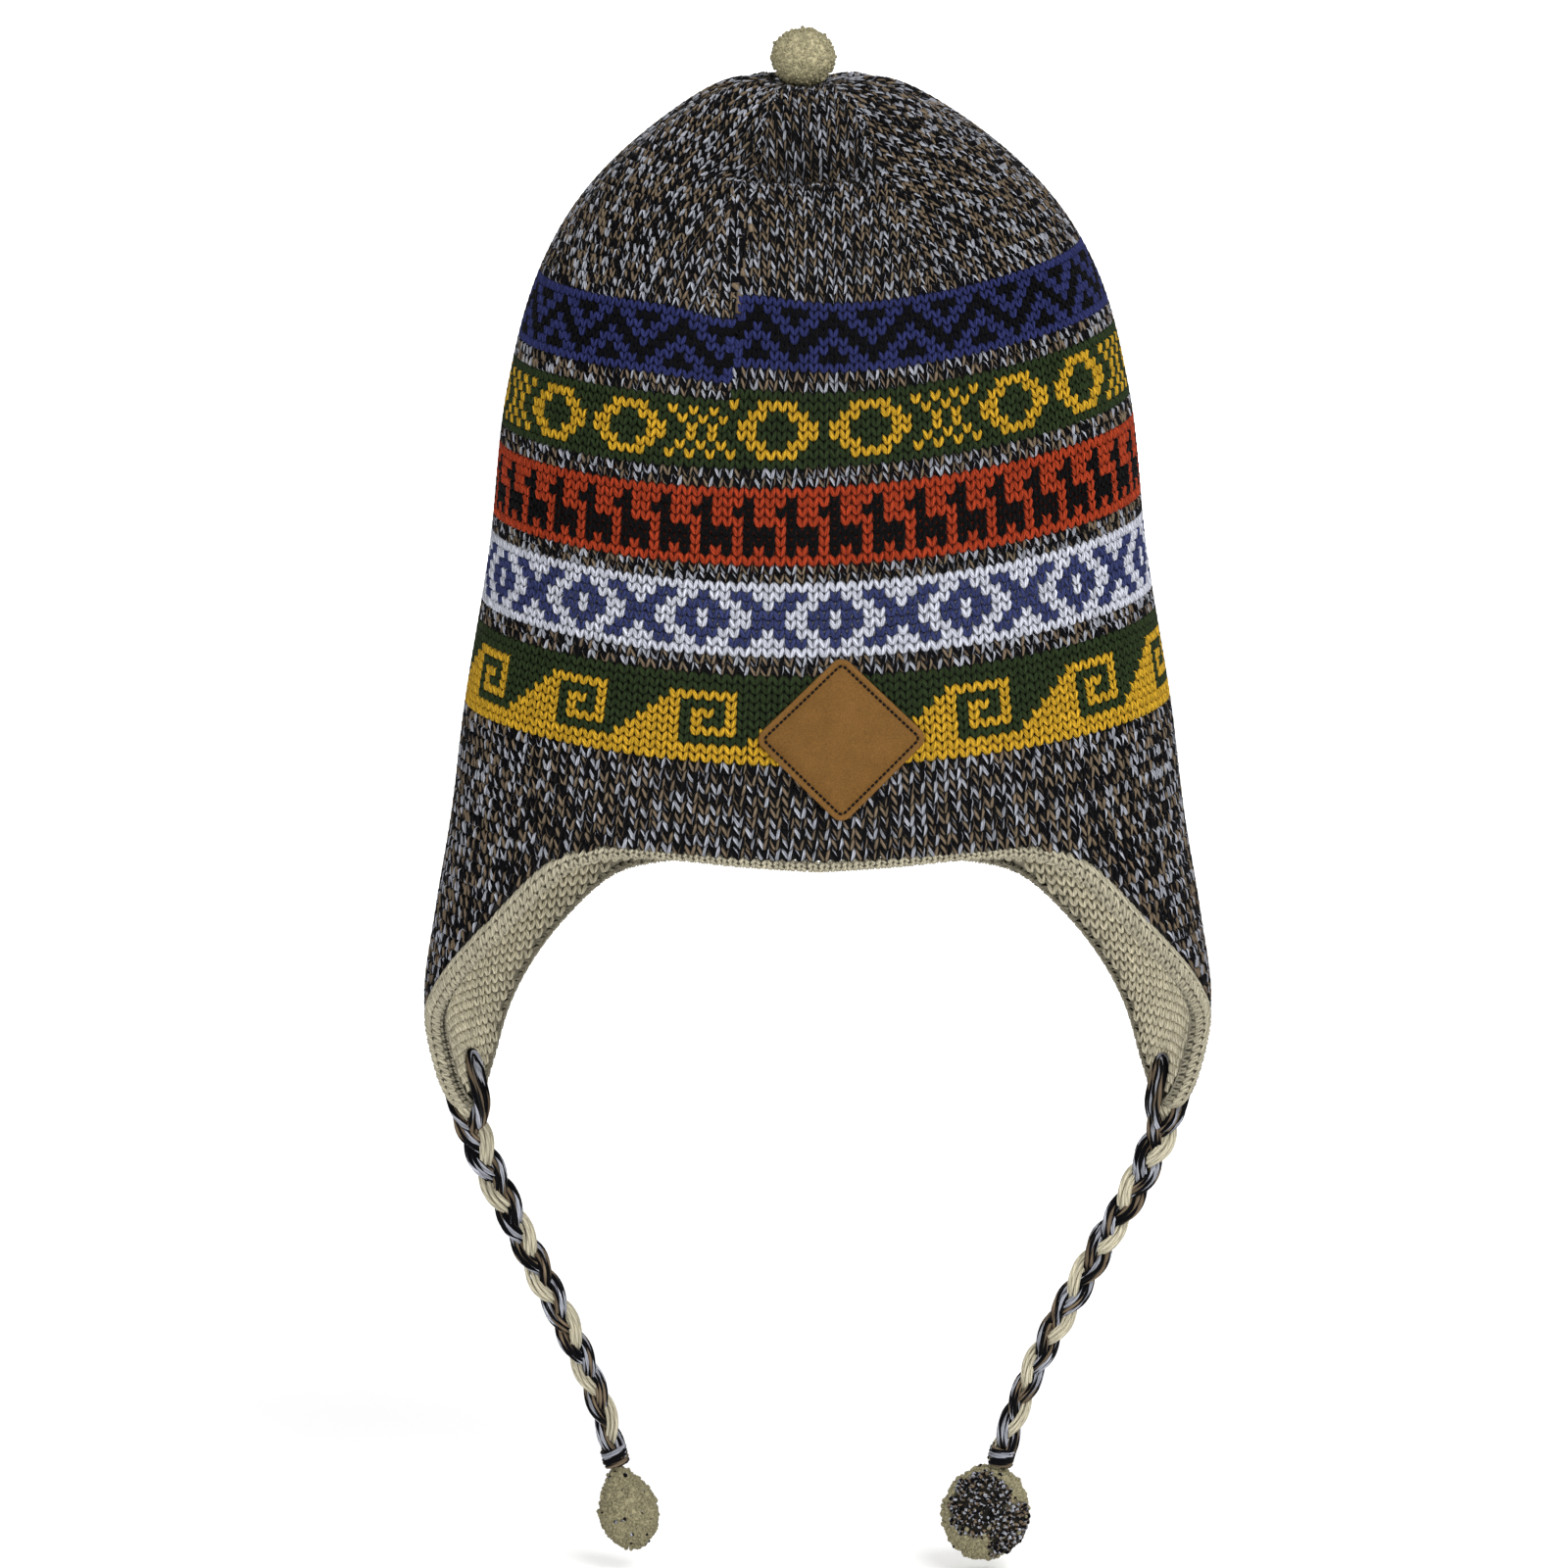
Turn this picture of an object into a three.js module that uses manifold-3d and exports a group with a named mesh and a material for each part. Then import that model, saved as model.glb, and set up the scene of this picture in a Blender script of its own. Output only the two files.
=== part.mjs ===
// Knitted hat with ear flaps (a chullo): outer knit, cream lining, rolled rim, leather patch,
// a pompom on the crown and two braided ties that end in pompoms.
// Millimetres, +Z up, and the front faces -Y. The origin is the middle of the head opening,
// level with the edge of the knit at the brow. Azimuth 0 is the front and 90 degrees the right side.
import * as THREE from "three";
import { mergeVertices } from "three/addons/utils/BufferGeometryUtils.js";
import Module from "manifold-3d";

const wasm = await Module();
wasm.setup();

const GAP = 0.3;
const LINING_GAP = 0.8;

// Walls: the outer knit, then the lining inside it.
const OUTER_WALL = 3.0;
const LINING_WALL = 2.4;
const FULL_WALL = OUTER_WALL + LINING_GAP + LINING_WALL;
const WALL_COLUMNS = 72;
const WALL_ROWS = 12;
// Rows lie closer together towards the crown.
const ROW_SPACING_POWER = 0.82;

// Level sections of the outer face, from below the flaps to the hollow on the crown.
// A section is an ellipse, and lean moves its middle sideways.
const SECTIONS = [
  { height: -104, halfWidth: 112, halfDepth: 70, lean: 0 },
  { height: -82, halfWidth: 117, halfDepth: 76, lean: 0 },
  { height: -58, halfWidth: 120.5, halfDepth: 80, lean: 0 },
  { height: -30, halfWidth: 117, halfDepth: 82, lean: 0 },
  { height: 0, halfWidth: 112, halfDepth: 82, lean: 0 },
  { height: 34, halfWidth: 107.8, halfDepth: 81, lean: 0 },
  { height: 82, halfWidth: 100, halfDepth: 79, lean: 0 },
  { height: 131, halfWidth: 94.5, halfDepth: 75, lean: 0 },
  { height: 168, halfWidth: 84.5, halfDepth: 67, lean: 0 },
  { height: 192, halfWidth: 70, halfDepth: 56, lean: -0.5 },
  { height: 216, halfWidth: 43, halfDepth: 36, lean: -1.5 },
  { height: 226, halfWidth: 24, halfDepth: 21, lean: -2.5 },
  { height: 226.2, halfWidth: 14, halfDepth: 13, lean: -3.5 },
  { height: 223.6, halfWidth: 5, halfDepth: 5, lean: -4.5 },
  { height: 223.6, halfWidth: 0, halfDepth: 0, lean: -4.5 },
];

// The lower edge of both knits, the same on the left: brow, flap front, flap tip, flap back, nape.
// rollRadius is half the height of the rolled rim there.
const RIM = [
  { azimuth: 0, height: 0, rollRadius: 1.6 },
  { azimuth: 12, height: 1.2, rollRadius: 1.6 },
  { azimuth: 24, height: 2.4, rollRadius: 1.6 },
  { azimuth: 37, height: 1.8, rollRadius: 2.2 },
  { azimuth: 47, height: -4.4, rollRadius: 3.0 },
  { azimuth: 60, height: -24.5, rollRadius: 3.1 },
  { azimuth: 78, height: -49, rollRadius: 3.0 },
  { azimuth: 88, height: -63, rollRadius: 2.6 },
  { azimuth: 96, height: -83, rollRadius: 2.0 },
  { azimuth: 105, height: -92.5, rollRadius: 1.6 },
  { azimuth: 114, height: -84, rollRadius: 1.4 },
  { azimuth: 123, height: -66, rollRadius: 1.4 },
  { azimuth: 135, height: -42, rollRadius: 1.5 },
  { azimuth: 145, height: -28, rollRadius: 1.6 },
  { azimuth: 157, height: -24, rollRadius: 1.6 },
  { azimuth: 180, height: -23, rollRadius: 1.6 },
];
const FLAP_TIP_AZIMUTH = 105;
const ROLL_GAP = 0.4;
const ROLL_SIDES = 8;
const ROLL_PROUD = 0.5;

// Dents in the front of the crown: the hollow under the pompom and the creases beside it.
// across is in degrees and along in millimetres, both to where the dent has mostly faded.
const DENTS = [
  { azimuth: -10, height: 212, across: 34, along: 11, depth: 5.0 },
  { azimuth: -19, height: 152, across: 8, along: 30, depth: 3.5 },
  { azimuth: 26, height: 197, across: 10, along: 20, depth: 2.5 },
];
const GATHER_FOLDS = 9;
const GATHER_DEPTH = 1.6;
const GATHER_RADIUS = 26;
const GATHER_SPREAD = 13;
// The hollow under the pompom stays flat out to the first radius, and folds are full from the second.
const HOLLOW_RADIUS = 5;
const FULL_FOLD_RADIUS = 18;
// Dents press towards a point on the axis that is never higher than this.
const HEART_HEIGHT = 130;

// The leather patch: a square with round corners, turned to stand on one corner.
const PATCH_SIDE = 37;
const PATCH_CORNER_RADIUS = 3.6;
const PATCH_THICKNESS = 1.8;
const PATCH_SIDEWAYS = 6.8;
const PATCH_HEIGHT = 37;
const PATCH_OUTLINE_POINTS = 32;
const PATCH_RINGS = 3;

// The ties: a braid that starts under the flap tip, and its pompom. swing scales the inward shift.
const BRAID_DIAMETER = 9.6;
const BRAID_SIDES = 10;
const BRAID_STEPS = 12;
const TIES = [
  { name: "left", sign: -1, swing: 1.065, pompomRadius: 9.4, pompomHalfHeight: 13.4 },
  { name: "right", sign: 1, swing: 1.2, pompomRadius: 13.6, pompomHalfHeight: 15.0 },
];
const TIE_ROUTE = [
  { drop: 0, inward: 0 },
  { drop: 5, inward: 0.9 },
  { drop: 12, inward: 3.2 },
  { drop: 20, inward: 6.4 },
  { drop: 28, inward: 9.9 },
  { drop: 36, inward: 13.5 },
  { drop: 44, inward: 17.2 },
  { drop: 52, inward: 20.9 },
  { drop: 60, inward: 24.6 },
  { drop: 68, inward: 28.2 },
  { drop: 76, inward: 31.6 },
  { drop: 84, inward: 34.8 },
  { drop: 92, inward: 37.6 },
  { drop: 100, inward: 40.0 },
  { drop: 108, inward: 42.0 },
  { drop: 113, inward: 43.1 },
];

// Pompoms: locks fused to a round core, with a neck where the pompom is tied on.
const CROWN_POMPOM_RADIUS = 9.6;
const CROWN_POMPOM_HALF_HEIGHT = 8.9;
const LOCK_COUNT = 20;
const LOCK_SIDES = 5;
const LOCK_END_SHARE = 0.33;
const LOCK_ROOT_SHARE = 0.2;
const LOCK_LENGTH_SWAY = 0.05;
const CORE_SHARE = 0.84;
const NECK_RADIUS = 3.6;
const NECK_CLEARANCE_COSINE = 0.8;
const GOLDEN_ANGLE = Math.PI * (3 - Math.sqrt(5));

// Steps for measuring slopes and solving for a height, and the weld of meeting corners.
const PROBE_ANGLE = 0.01;
const PROBE_RISE = 0.5;
const RISE_HALVINGS = 40;
const WALL_TOP = 200;
const WELD_DISTANCE = 1e-5;

const radians = THREE.MathUtils.degToRad;
const hat = new THREE.Group();
hat.name = "chullo_hat";

function finish(color, roughness) {
  return new THREE.MeshStandardMaterial({ color, roughness, metalness: 0 });
}

const MARL_KNIT = finish(0x55525c, 0.95);
const CREAM_KNIT = finish(0xb2a582, 0.95);
const CREAM_YARN = finish(0xc8b48c, 0.95);
const MARL_BRAID = finish(0x6a665f, 0.95);
const LEATHER = finish(0x96673a, 0.6);

function addPiece(name, geometry, material) {
  const piece = new THREE.Mesh(geometry, material);
  piece.name = name;
  hat.add(piece);
}

// A smooth curve through the rows of a table. It gives the named columns at a position.
function tableCurve(rows, positions, columns) {
  const values = rows.flatMap((row) => columns.map((column) => row[column]));
  const curve = new THREE.CubicInterpolant(positions, values, columns.length);
  return (position) => {
    const found = curve.evaluate(position);
    return Object.fromEntries(columns.map((column, index) => [column, found[index]]));
  };
}

// Rise is the way up the outer face, from the lowest section, measured along the side.
const sectionRises = [0];
SECTIONS.slice(1).forEach((row, index) => {
  const below = SECTIONS[index];
  const step = Math.hypot(row.height - below.height, row.halfWidth - below.halfWidth);
  sectionRises.push(sectionRises[index] + step);
});
const APEX_RISE = sectionRises.at(-1);
const sectionAt = tableCurve(SECTIONS, sectionRises, ["height", "halfWidth", "halfDepth", "lean"]);
const rimAt = tableCurve(RIM, RIM.map((row) => radians(row.azimuth)), ["height", "rollRadius"]);

// The rise of a height on the side wall, where height grows all the way up.
function riseAtHeight(height) {
  let low = 0;
  let high = sectionRises[SECTIONS.findIndex((row) => row.height >= WALL_TOP)];
  for (let halving = 0; halving < RISE_HALVINGS; halving += 1) {
    const middle = (low + high) / 2;
    if (sectionAt(middle).height < height) {
      low = middle;
    } else {
      high = middle;
    }
  }
  return low;
}

const rimRise = (azimuth) => riseAtHeight(rimAt(Math.abs(azimuth)).height);

// How far the outer face is pressed in by its dents and by the gathers round the crown.
function pressedDepth(azimuth, section) {
  let depth = 0;
  for (const dent of DENTS) {
    const sideways = (azimuth - radians(dent.azimuth)) / radians(dent.across);
    const upwards = (section.height - dent.height) / dent.along;
    depth += dent.depth * Math.exp(-(sideways ** 2) - upwards ** 2);
  }
  const fromGather = (section.halfWidth - GATHER_RADIUS) / GATHER_SPREAD;
  const ripple = 0.5 + 0.5 * Math.cos(GATHER_FOLDS * azimuth);
  depth += GATHER_DEPTH * ripple * Math.exp(-(fromGather ** 2));
  return depth * THREE.MathUtils.smoothstep(section.halfWidth, HOLLOW_RADIUS, FULL_FOLD_RADIUS);
}

function facePoint(azimuth, rise) {
  const section = sectionAt(rise);
  const point = new THREE.Vector3(
    section.lean + section.halfWidth * Math.sin(azimuth),
    -section.halfDepth * Math.cos(azimuth),
    section.height,
  );
  const heart = new THREE.Vector3(section.lean, 0, Math.min(section.height, HEART_HEIGHT));
  const inward = heart.sub(point).normalize();
  return point.addScaledVector(inward, pressedDepth(azimuth, section));
}

function faceNormal(azimuth, rise) {
  const across = facePoint(azimuth + PROBE_ANGLE, rise).sub(facePoint(azimuth - PROBE_ANGLE, rise));
  const upwards = facePoint(azimuth, rise + PROBE_RISE).sub(facePoint(azimuth, rise - PROBE_RISE));
  return across.cross(upwards).normalize();
}

// A point of the wall, depth millimetres in from the outer face.
function wallPoint(azimuth, rise, depth) {
  return facePoint(azimuth, rise).addScaledVector(faceNormal(azimuth, rise), -depth);
}

class HalfRim extends THREE.Curve {
  getPoint(share) {
    const azimuth = share * Math.PI;
    return facePoint(azimuth, rimRise(azimuth));
  }
}

// Azimuths of the wall's columns, evenly spaced along the rim: front to back, and round to the front.
// The column nearest to a flap's tip moves onto the tip.
function rimColumns() {
  const half = WALL_COLUMNS / 2;
  const rim = new HalfRim();
  const right = Array.from({ length: half + 1 }, (_, index) => Math.PI * rim.getUtoTmapping(index / half));
  const fromTip = right.map((azimuth) => Math.abs(azimuth - radians(FLAP_TIP_AZIMUTH)));
  right[fromTip.indexOf(Math.min(...fromTip))] = radians(FLAP_TIP_AZIMUTH);
  const left = right.slice(1, half).reverse().map((azimuth) => -azimuth);
  return [...right, ...left];
}

const columns = rimColumns();

function solidGeometry(points, faces) {
  const geometry = new THREE.BufferGeometry();
  geometry.setAttribute("position", new THREE.Float32BufferAttribute(points.flatMap((p) => p.toArray()), 3));
  geometry.setIndex(faces.flat());
  geometry.computeVertexNormals();
  return geometry;
}

// A band of quads between two closed rings of equal length, each quad as two triangles.
function ringBand(lower, upper) {
  return lower.flatMap((corner, index) => {
    const next = (index + 1) % lower.length;
    return [
      [corner, lower[next], upper[next]],
      [corner, upper[next], upper[index]],
    ];
  });
}

const turnedOver = (faces) => faces.map(([a, b, c]) => [a, c, b]);

// One face of a knit, from the rim to the apex: its points, the rings they form and its triangles.
function knitFace(depth, firstIndex) {
  const topRise = sectionRises.at(-2);
  const points = [];
  const rings = [];
  for (let row = 0; row < WALL_ROWS; row += 1) {
    const share = (row / (WALL_ROWS - 1)) ** ROW_SPACING_POWER;
    rings.push(columns.map((_, index) => firstIndex + row * WALL_COLUMNS + index));
    for (const azimuth of columns) {
      const start = rimRise(azimuth);
      points.push(wallPoint(azimuth, start + (topRise - start) * share, depth));
    }
  }
  const apex = firstIndex + points.length;
  const top = sectionAt(APEX_RISE);
  points.push(new THREE.Vector3(top.lean, 0, top.height - depth));
  const faces = rings.slice(1).flatMap((ring, index) => ringBand(rings[index], ring));
  const lastRing = rings.at(-1);
  lastRing.forEach((corner, index) => {
    faces.push([corner, lastRing[(index + 1) % WALL_COLUMNS], apex]);
  });
  return { points, rim: rings[0], faces };
}

// A knit as a closed wall: an outer face, an inner face and the edge that joins them at the rim.
function knitWall(outerDepth, innerDepth) {
  const outer = knitFace(outerDepth, 0);
  const inner = knitFace(innerDepth, outer.points.length);
  const faces = [...outer.faces, ...turnedOver(inner.faces), ...ringBand(inner.rim, outer.rim)];
  return solidGeometry([...outer.points, ...inner.points], faces);
}

// The rolled rim: an oval tube that follows the lower edge and covers both knits.
function rimRoll() {
  const middleDepth = FULL_WALL / 2 - ROLL_PROUD;
  const points = [];
  const rings = columns.map((azimuth, station) => {
    const rise = rimRise(azimuth);
    const before = azimuth - PROBE_ANGLE;
    const after = azimuth + PROBE_ANGLE;
    const along = wallPoint(after, rimRise(after), middleDepth)
      .sub(wallPoint(before, rimRise(before), middleDepth))
      .normalize();
    const outward = faceNormal(azimuth, rise);
    const downward = along.clone().cross(outward).normalize();
    downward.multiplyScalar(-Math.sign(downward.z));
    const { rollRadius } = rimAt(Math.abs(azimuth));
    const middle = wallPoint(azimuth, rise, middleDepth).addScaledVector(downward, rollRadius + ROLL_GAP);
    for (let side = 0; side < ROLL_SIDES; side += 1) {
      const angle = (2 * Math.PI * side) / ROLL_SIDES;
      const thick = Math.max(rollRadius, FULL_WALL / 2) * Math.cos(angle);
      const tall = rollRadius * Math.sin(angle);
      points.push(middle.clone().addScaledVector(outward, thick).addScaledVector(downward, -tall));
    }
    return Array.from({ length: ROLL_SIDES }, (_, side) => station * ROLL_SIDES + side);
  });
  const faces = rings.flatMap((ring, index) => ringBand(ring, rings[(index + 1) % rings.length]));
  return solidGeometry(points, turnedOver(faces));
}

// The patch lies on the front of the outer knit. Its faces are rings about its middle.
function leatherPatch() {
  const straight = PATCH_SIDE / 2 - PATCH_CORNER_RADIUS;
  const square = new THREE.Shape();
  for (let corner = 0; corner < 4; corner += 1) {
    const turn = (corner * Math.PI) / 2;
    const middle = new THREE.Vector2(straight, straight).rotateAround(new THREE.Vector2(), turn);
    square.absarc(middle.x, middle.y, PATCH_CORNER_RADIUS, turn, turn + Math.PI / 2);
  }
  square.closePath();
  const outline = square.getSpacedPoints(PATCH_OUTLINE_POINTS).slice(0, PATCH_OUTLINE_POINTS);
  const origin = new THREE.Vector2();
  const diamond = outline.map((point) => point.clone().rotateAround(origin, Math.PI / 4));
  const middleRise = riseAtHeight(PATCH_HEIGHT);
  const onHat = (point, clearance) => {
    const rise = middleRise + point.y;
    const azimuth = Math.asin((PATCH_SIDEWAYS + point.x) / sectionAt(rise).halfWidth);
    return wallPoint(azimuth, rise, -clearance);
  };
  const points = [];
  const face = (clearance) => {
    const first = points.length;
    points.push(onHat(origin, clearance));
    const rings = [];
    for (let ring = 1; ring <= PATCH_RINGS; ring += 1) {
      rings.push(diamond.map((_, index) => points.length + index));
      const share = ring / PATCH_RINGS;
      points.push(...diamond.map((point) => onHat(point.clone().multiplyScalar(share), clearance)));
    }
    const nextCorner = (index) => rings[0][(index + 1) % PATCH_OUTLINE_POINTS];
    const fan = rings[0].map((corner, index) => [first, corner, nextCorner(index)]);
    const bands = rings.slice(1).flatMap((ring, index) => turnedOver(ringBand(rings[index], ring)));
    return { faces: [...fan, ...bands], edge: rings.at(-1) };
  };
  const front = face(GAP + PATCH_THICKNESS);
  const back = face(GAP);
  const faces = [...front.faces, ...turnedOver(back.faces), ...ringBand(back.edge, front.edge)];
  return solidGeometry(points, faces);
}

function toSolid(geometry) {
  const bare = geometry.clone();
  bare.deleteAttribute("normal");
  bare.deleteAttribute("uv");
  const merged = mergeVertices(bare, WELD_DISTANCE);
  return new wasm.Manifold(new wasm.Mesh({
    numProp: 3,
    vertProperties: new Float32Array(merged.attributes.position.array),
    triVerts: new Uint32Array(merged.index.array),
  }));
}

function fromSolid(solid) {
  const mesh = solid.getMesh();
  const geometry = new THREE.BufferGeometry();
  geometry.setAttribute("position", new THREE.BufferAttribute(new Float32Array(mesh.vertProperties), 3));
  geometry.setIndex(new THREE.BufferAttribute(new Uint32Array(mesh.triVerts), 1));
  geometry.computeVertexNormals();
  return geometry;
}

// A pompom about the origin, tied on at its +Z end: yarn locks fused to a core and a neck.
function pompom(radius, halfHeight) {
  const shape = new THREE.Vector3(radius, radius, halfHeight);
  const up = new THREE.Vector3(0, 1, 0);
  const core = new THREE.IcosahedronGeometry(CORE_SHARE, 1).scale(...shape.toArray());
  let solid = toSolid(core);
  for (let lock = 0; lock < LOCK_COUNT; lock += 1) {
    const level = 1 - (2 * lock + 1) / LOCK_COUNT;
    if (level > NECK_CLEARANCE_COSINE) {
      continue;
    }
    const across = Math.sqrt(1 - level ** 2);
    const angle = lock * GOLDEN_ANGLE;
    const reach = new THREE.Vector3(across * Math.cos(angle), across * Math.sin(angle), level);
    reach.multiply(shape);
    const length = reach.length() * (1 - LOCK_LENGTH_SWAY * (1 + Math.sin(lock * lock)));
    const end = LOCK_END_SHARE * radius;
    const root = LOCK_ROOT_SHARE * radius;
    const yarn = new THREE.CylinderGeometry(end, root, length, LOCK_SIDES);
    yarn.translate(0, length / 2, 0);
    yarn.applyQuaternion(new THREE.Quaternion().setFromUnitVectors(up, reach.normalize()));
    solid = solid.add(toSolid(yarn));
  }
  const neck = new THREE.CylinderGeometry(NECK_RADIUS, NECK_RADIUS, halfHeight, LOCK_SIDES * 2);
  neck.rotateX(Math.PI / 2).translate(0, 0, halfHeight / 2);
  return fromSolid(solid.add(toSolid(neck)));
}

addPiece("outer_knit", knitWall(0, OUTER_WALL), MARL_KNIT);
addPiece("lining_knit", knitWall(OUTER_WALL + LINING_GAP, FULL_WALL), CREAM_KNIT);
addPiece("rim_roll", rimRoll(), CREAM_KNIT);
addPiece("leather_patch", leatherPatch(), LEATHER);

// The crown's pompom stands on its neck in the hollow of the crown.
const crownTop = sectionAt(APEX_RISE);
const crownPompom = pompom(CROWN_POMPOM_RADIUS, CROWN_POMPOM_HALF_HEIGHT).rotateX(Math.PI);
crownPompom.translate(crownTop.lean, 0, crownTop.height + GAP + CROWN_POMPOM_HALF_HEIGHT);
addPiece("crown_pompom", crownPompom, CREAM_YARN);

const braidSection = new THREE.Shape();
for (let side = 0; side < BRAID_SIDES; side += 1) {
  const angle = (2 * Math.PI * side) / BRAID_SIDES;
  const corner = new THREE.Vector2(Math.cos(angle), Math.sin(angle)).multiplyScalar(BRAID_DIAMETER / 2);
  if (side === 0) {
    braidSection.moveTo(corner.x, corner.y);
  } else {
    braidSection.lineTo(corner.x, corner.y);
  }
}
braidSection.closePath();

const tipAzimuth = radians(FLAP_TIP_AZIMUTH);
const flapTip = wallPoint(tipAzimuth, rimRise(tipAzimuth), FULL_WALL / 2);
const braidTop = flapTip.z - 2 * rimAt(tipAzimuth).rollRadius - ROLL_GAP - GAP;
for (const tie of TIES) {
  const route = TIE_ROUTE.map(({ drop, inward }) => new THREE.Vector3(
    tie.sign * (flapTip.x - tie.swing * inward),
    flapTip.y,
    braidTop - drop,
  ));
  const path = new THREE.CatmullRomCurve3(route);
  const braid = new THREE.ExtrudeGeometry(braidSection, {
    steps: BRAID_STEPS,
    extrudePath: path,
    bevelEnabled: false,
  });
  addPiece(`tie_braid_${tie.name}`, braid, MARL_BRAID);
  const endways = path.getTangent(1);
  const end = pompom(tie.pompomRadius, tie.pompomHalfHeight);
  end.applyQuaternion(new THREE.Quaternion().setFromUnitVectors(new THREE.Vector3(0, 0, -1), endways));
  end.translate(...path.getPoint(1).addScaledVector(endways, tie.pompomHalfHeight + GAP).toArray());
  addPiece(`tie_pompom_${tie.name}`, end, CREAM_YARN);
}

export default hat;
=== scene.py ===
"""Looks of a knitted hat with ear flaps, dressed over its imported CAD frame.

Every stitch is a pair of yarn legs on the outer face, and the lining, the rolled rim, the braided ties
and the pompoms are yarn too. Metres, +Z up, and the front faces -Y. Azimuth 0 is the front and grows
towards +X. Rise is the way up the outer face, measured along the side.
"""

import math

import bpy
import numpy as np
from bpy.props import FloatProperty, FloatVectorProperty, IntProperty, PointerProperty
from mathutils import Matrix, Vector


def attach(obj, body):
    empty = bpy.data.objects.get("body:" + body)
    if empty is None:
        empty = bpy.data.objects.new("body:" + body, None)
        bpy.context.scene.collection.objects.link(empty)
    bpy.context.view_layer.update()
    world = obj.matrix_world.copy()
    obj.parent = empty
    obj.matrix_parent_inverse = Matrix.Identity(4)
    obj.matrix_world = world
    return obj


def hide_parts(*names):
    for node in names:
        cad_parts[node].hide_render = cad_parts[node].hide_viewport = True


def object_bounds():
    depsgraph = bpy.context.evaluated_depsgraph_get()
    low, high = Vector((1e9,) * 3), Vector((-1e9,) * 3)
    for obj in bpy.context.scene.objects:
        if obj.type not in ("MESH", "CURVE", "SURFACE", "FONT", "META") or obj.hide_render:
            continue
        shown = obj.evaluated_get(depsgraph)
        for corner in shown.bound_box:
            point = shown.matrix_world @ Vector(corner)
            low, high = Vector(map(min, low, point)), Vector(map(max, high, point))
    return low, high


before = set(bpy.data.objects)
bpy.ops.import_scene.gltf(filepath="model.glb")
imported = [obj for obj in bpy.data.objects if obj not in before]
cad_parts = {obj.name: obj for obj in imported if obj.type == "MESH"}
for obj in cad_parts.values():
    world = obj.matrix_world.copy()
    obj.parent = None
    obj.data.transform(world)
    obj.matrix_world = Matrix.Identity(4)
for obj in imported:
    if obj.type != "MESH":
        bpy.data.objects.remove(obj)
CAD_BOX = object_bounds()

bl_info = {
    "name": "Knitted hat looks",
    "version": (1, 0, 0),
    "blender": (4, 5, 0),
    "location": "View3D > Sidebar > Knitted Hat",
    "description": "Dresses the frame of a knitted hat with stitches, braids, pompoms and a leather patch",
    "category": "Object",
}

BODY = "root"
SEED = 20
FULL_TURN = 2 * math.pi

# The photograph's frame, and where the middle of the hat lies in it.
IMAGE_PIXELS = 1600
PIXEL_SIZE = 0.00030
HAT_MIDDLE_PIXEL = 834.5
HAT_LEVEL_PIXEL = 830
CAMERA_ELEVATION = math.radians(10)
CAMERA_DISTANCE = 4.0
SENSOR_WIDTH = 36.0

# Both walls together, from the outer face inwards.
FULL_WALL = 0.0062

# Level sections of the outer face: height, half width, half depth and sideways lean.
SECTIONS = np.array((
    (-0.1040, 0.1120, 0.0700, 0.0),
    (-0.0820, 0.1170, 0.0760, 0.0),
    (-0.0580, 0.1205, 0.0800, 0.0),
    (-0.0300, 0.1170, 0.0820, 0.0),
    (0.0000, 0.1120, 0.0820, 0.0),
    (0.0340, 0.1078, 0.0810, 0.0),
    (0.0820, 0.1000, 0.0790, 0.0),
    (0.1310, 0.0945, 0.0750, 0.0),
    (0.1680, 0.0845, 0.0670, 0.0),
    (0.1920, 0.0700, 0.0560, -0.0005),
    (0.2160, 0.0430, 0.0360, -0.0015),
    (0.2260, 0.0240, 0.0210, -0.0025),
    (0.2262, 0.0140, 0.0130, -0.0035),
    (0.2236, 0.0050, 0.0050, -0.0045),
    (0.2236, 0.0000, 0.0000, -0.0045),
))
WALL_TOP_SECTION = 10
RISE_SAMPLES = 3000
# Steps for measuring slopes of the outer face.
PROBE_TURN = 0.01
PROBE_RISE = 0.0005
# The height where wales are evenly spaced.
EVEN_HEIGHT = 0.06
AZIMUTH_SAMPLES = 2001

# The lower edge, the same on both sides: azimuth in degrees, height, and the rolled rim's radius.
RIM = np.array((
    (0, 0.0000, 0.0016),
    (12, 0.0012, 0.0016),
    (24, 0.0024, 0.0016),
    (37, 0.0018, 0.0022),
    (47, -0.0044, 0.0030),
    (60, -0.0245, 0.0031),
    (78, -0.0490, 0.0030),
    (88, -0.0630, 0.0026),
    (96, -0.0830, 0.0020),
    (105, -0.0925, 0.0016),
    (114, -0.0840, 0.0014),
    (123, -0.0660, 0.0014),
    (135, -0.0420, 0.0015),
    (145, -0.0280, 0.0016),
    (157, -0.0240, 0.0016),
    (180, -0.0230, 0.0016),
))
FLAP_TIP_AZIMUTH = math.radians(105)
ROLL_GAP = 0.0004
ROLL_DEPTH = 0.0026
ROLL_MIN_THICKNESS = 0.0031
ROLL_SLANT = 0.9

# Dents in the crown: azimuth and reach across in degrees, height, reach along, and depth.
DENTS = (
    (-10, 34, 0.212, 0.011, 0.0050),
    (-19, 8, 0.152, 0.030, 0.0035),
    (26, 10, 0.197, 0.020, 0.0025),
)
GATHER_FOLDS = 9
GATHER_DEPTH = 0.0016
GATHER_RADIUS = 0.026
GATHER_SPREAD = 0.013
HOLLOW_RADIUS = 0.005
FULL_FOLD_RADIUS = 0.018
HEART_HEIGHT = 0.130

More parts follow.
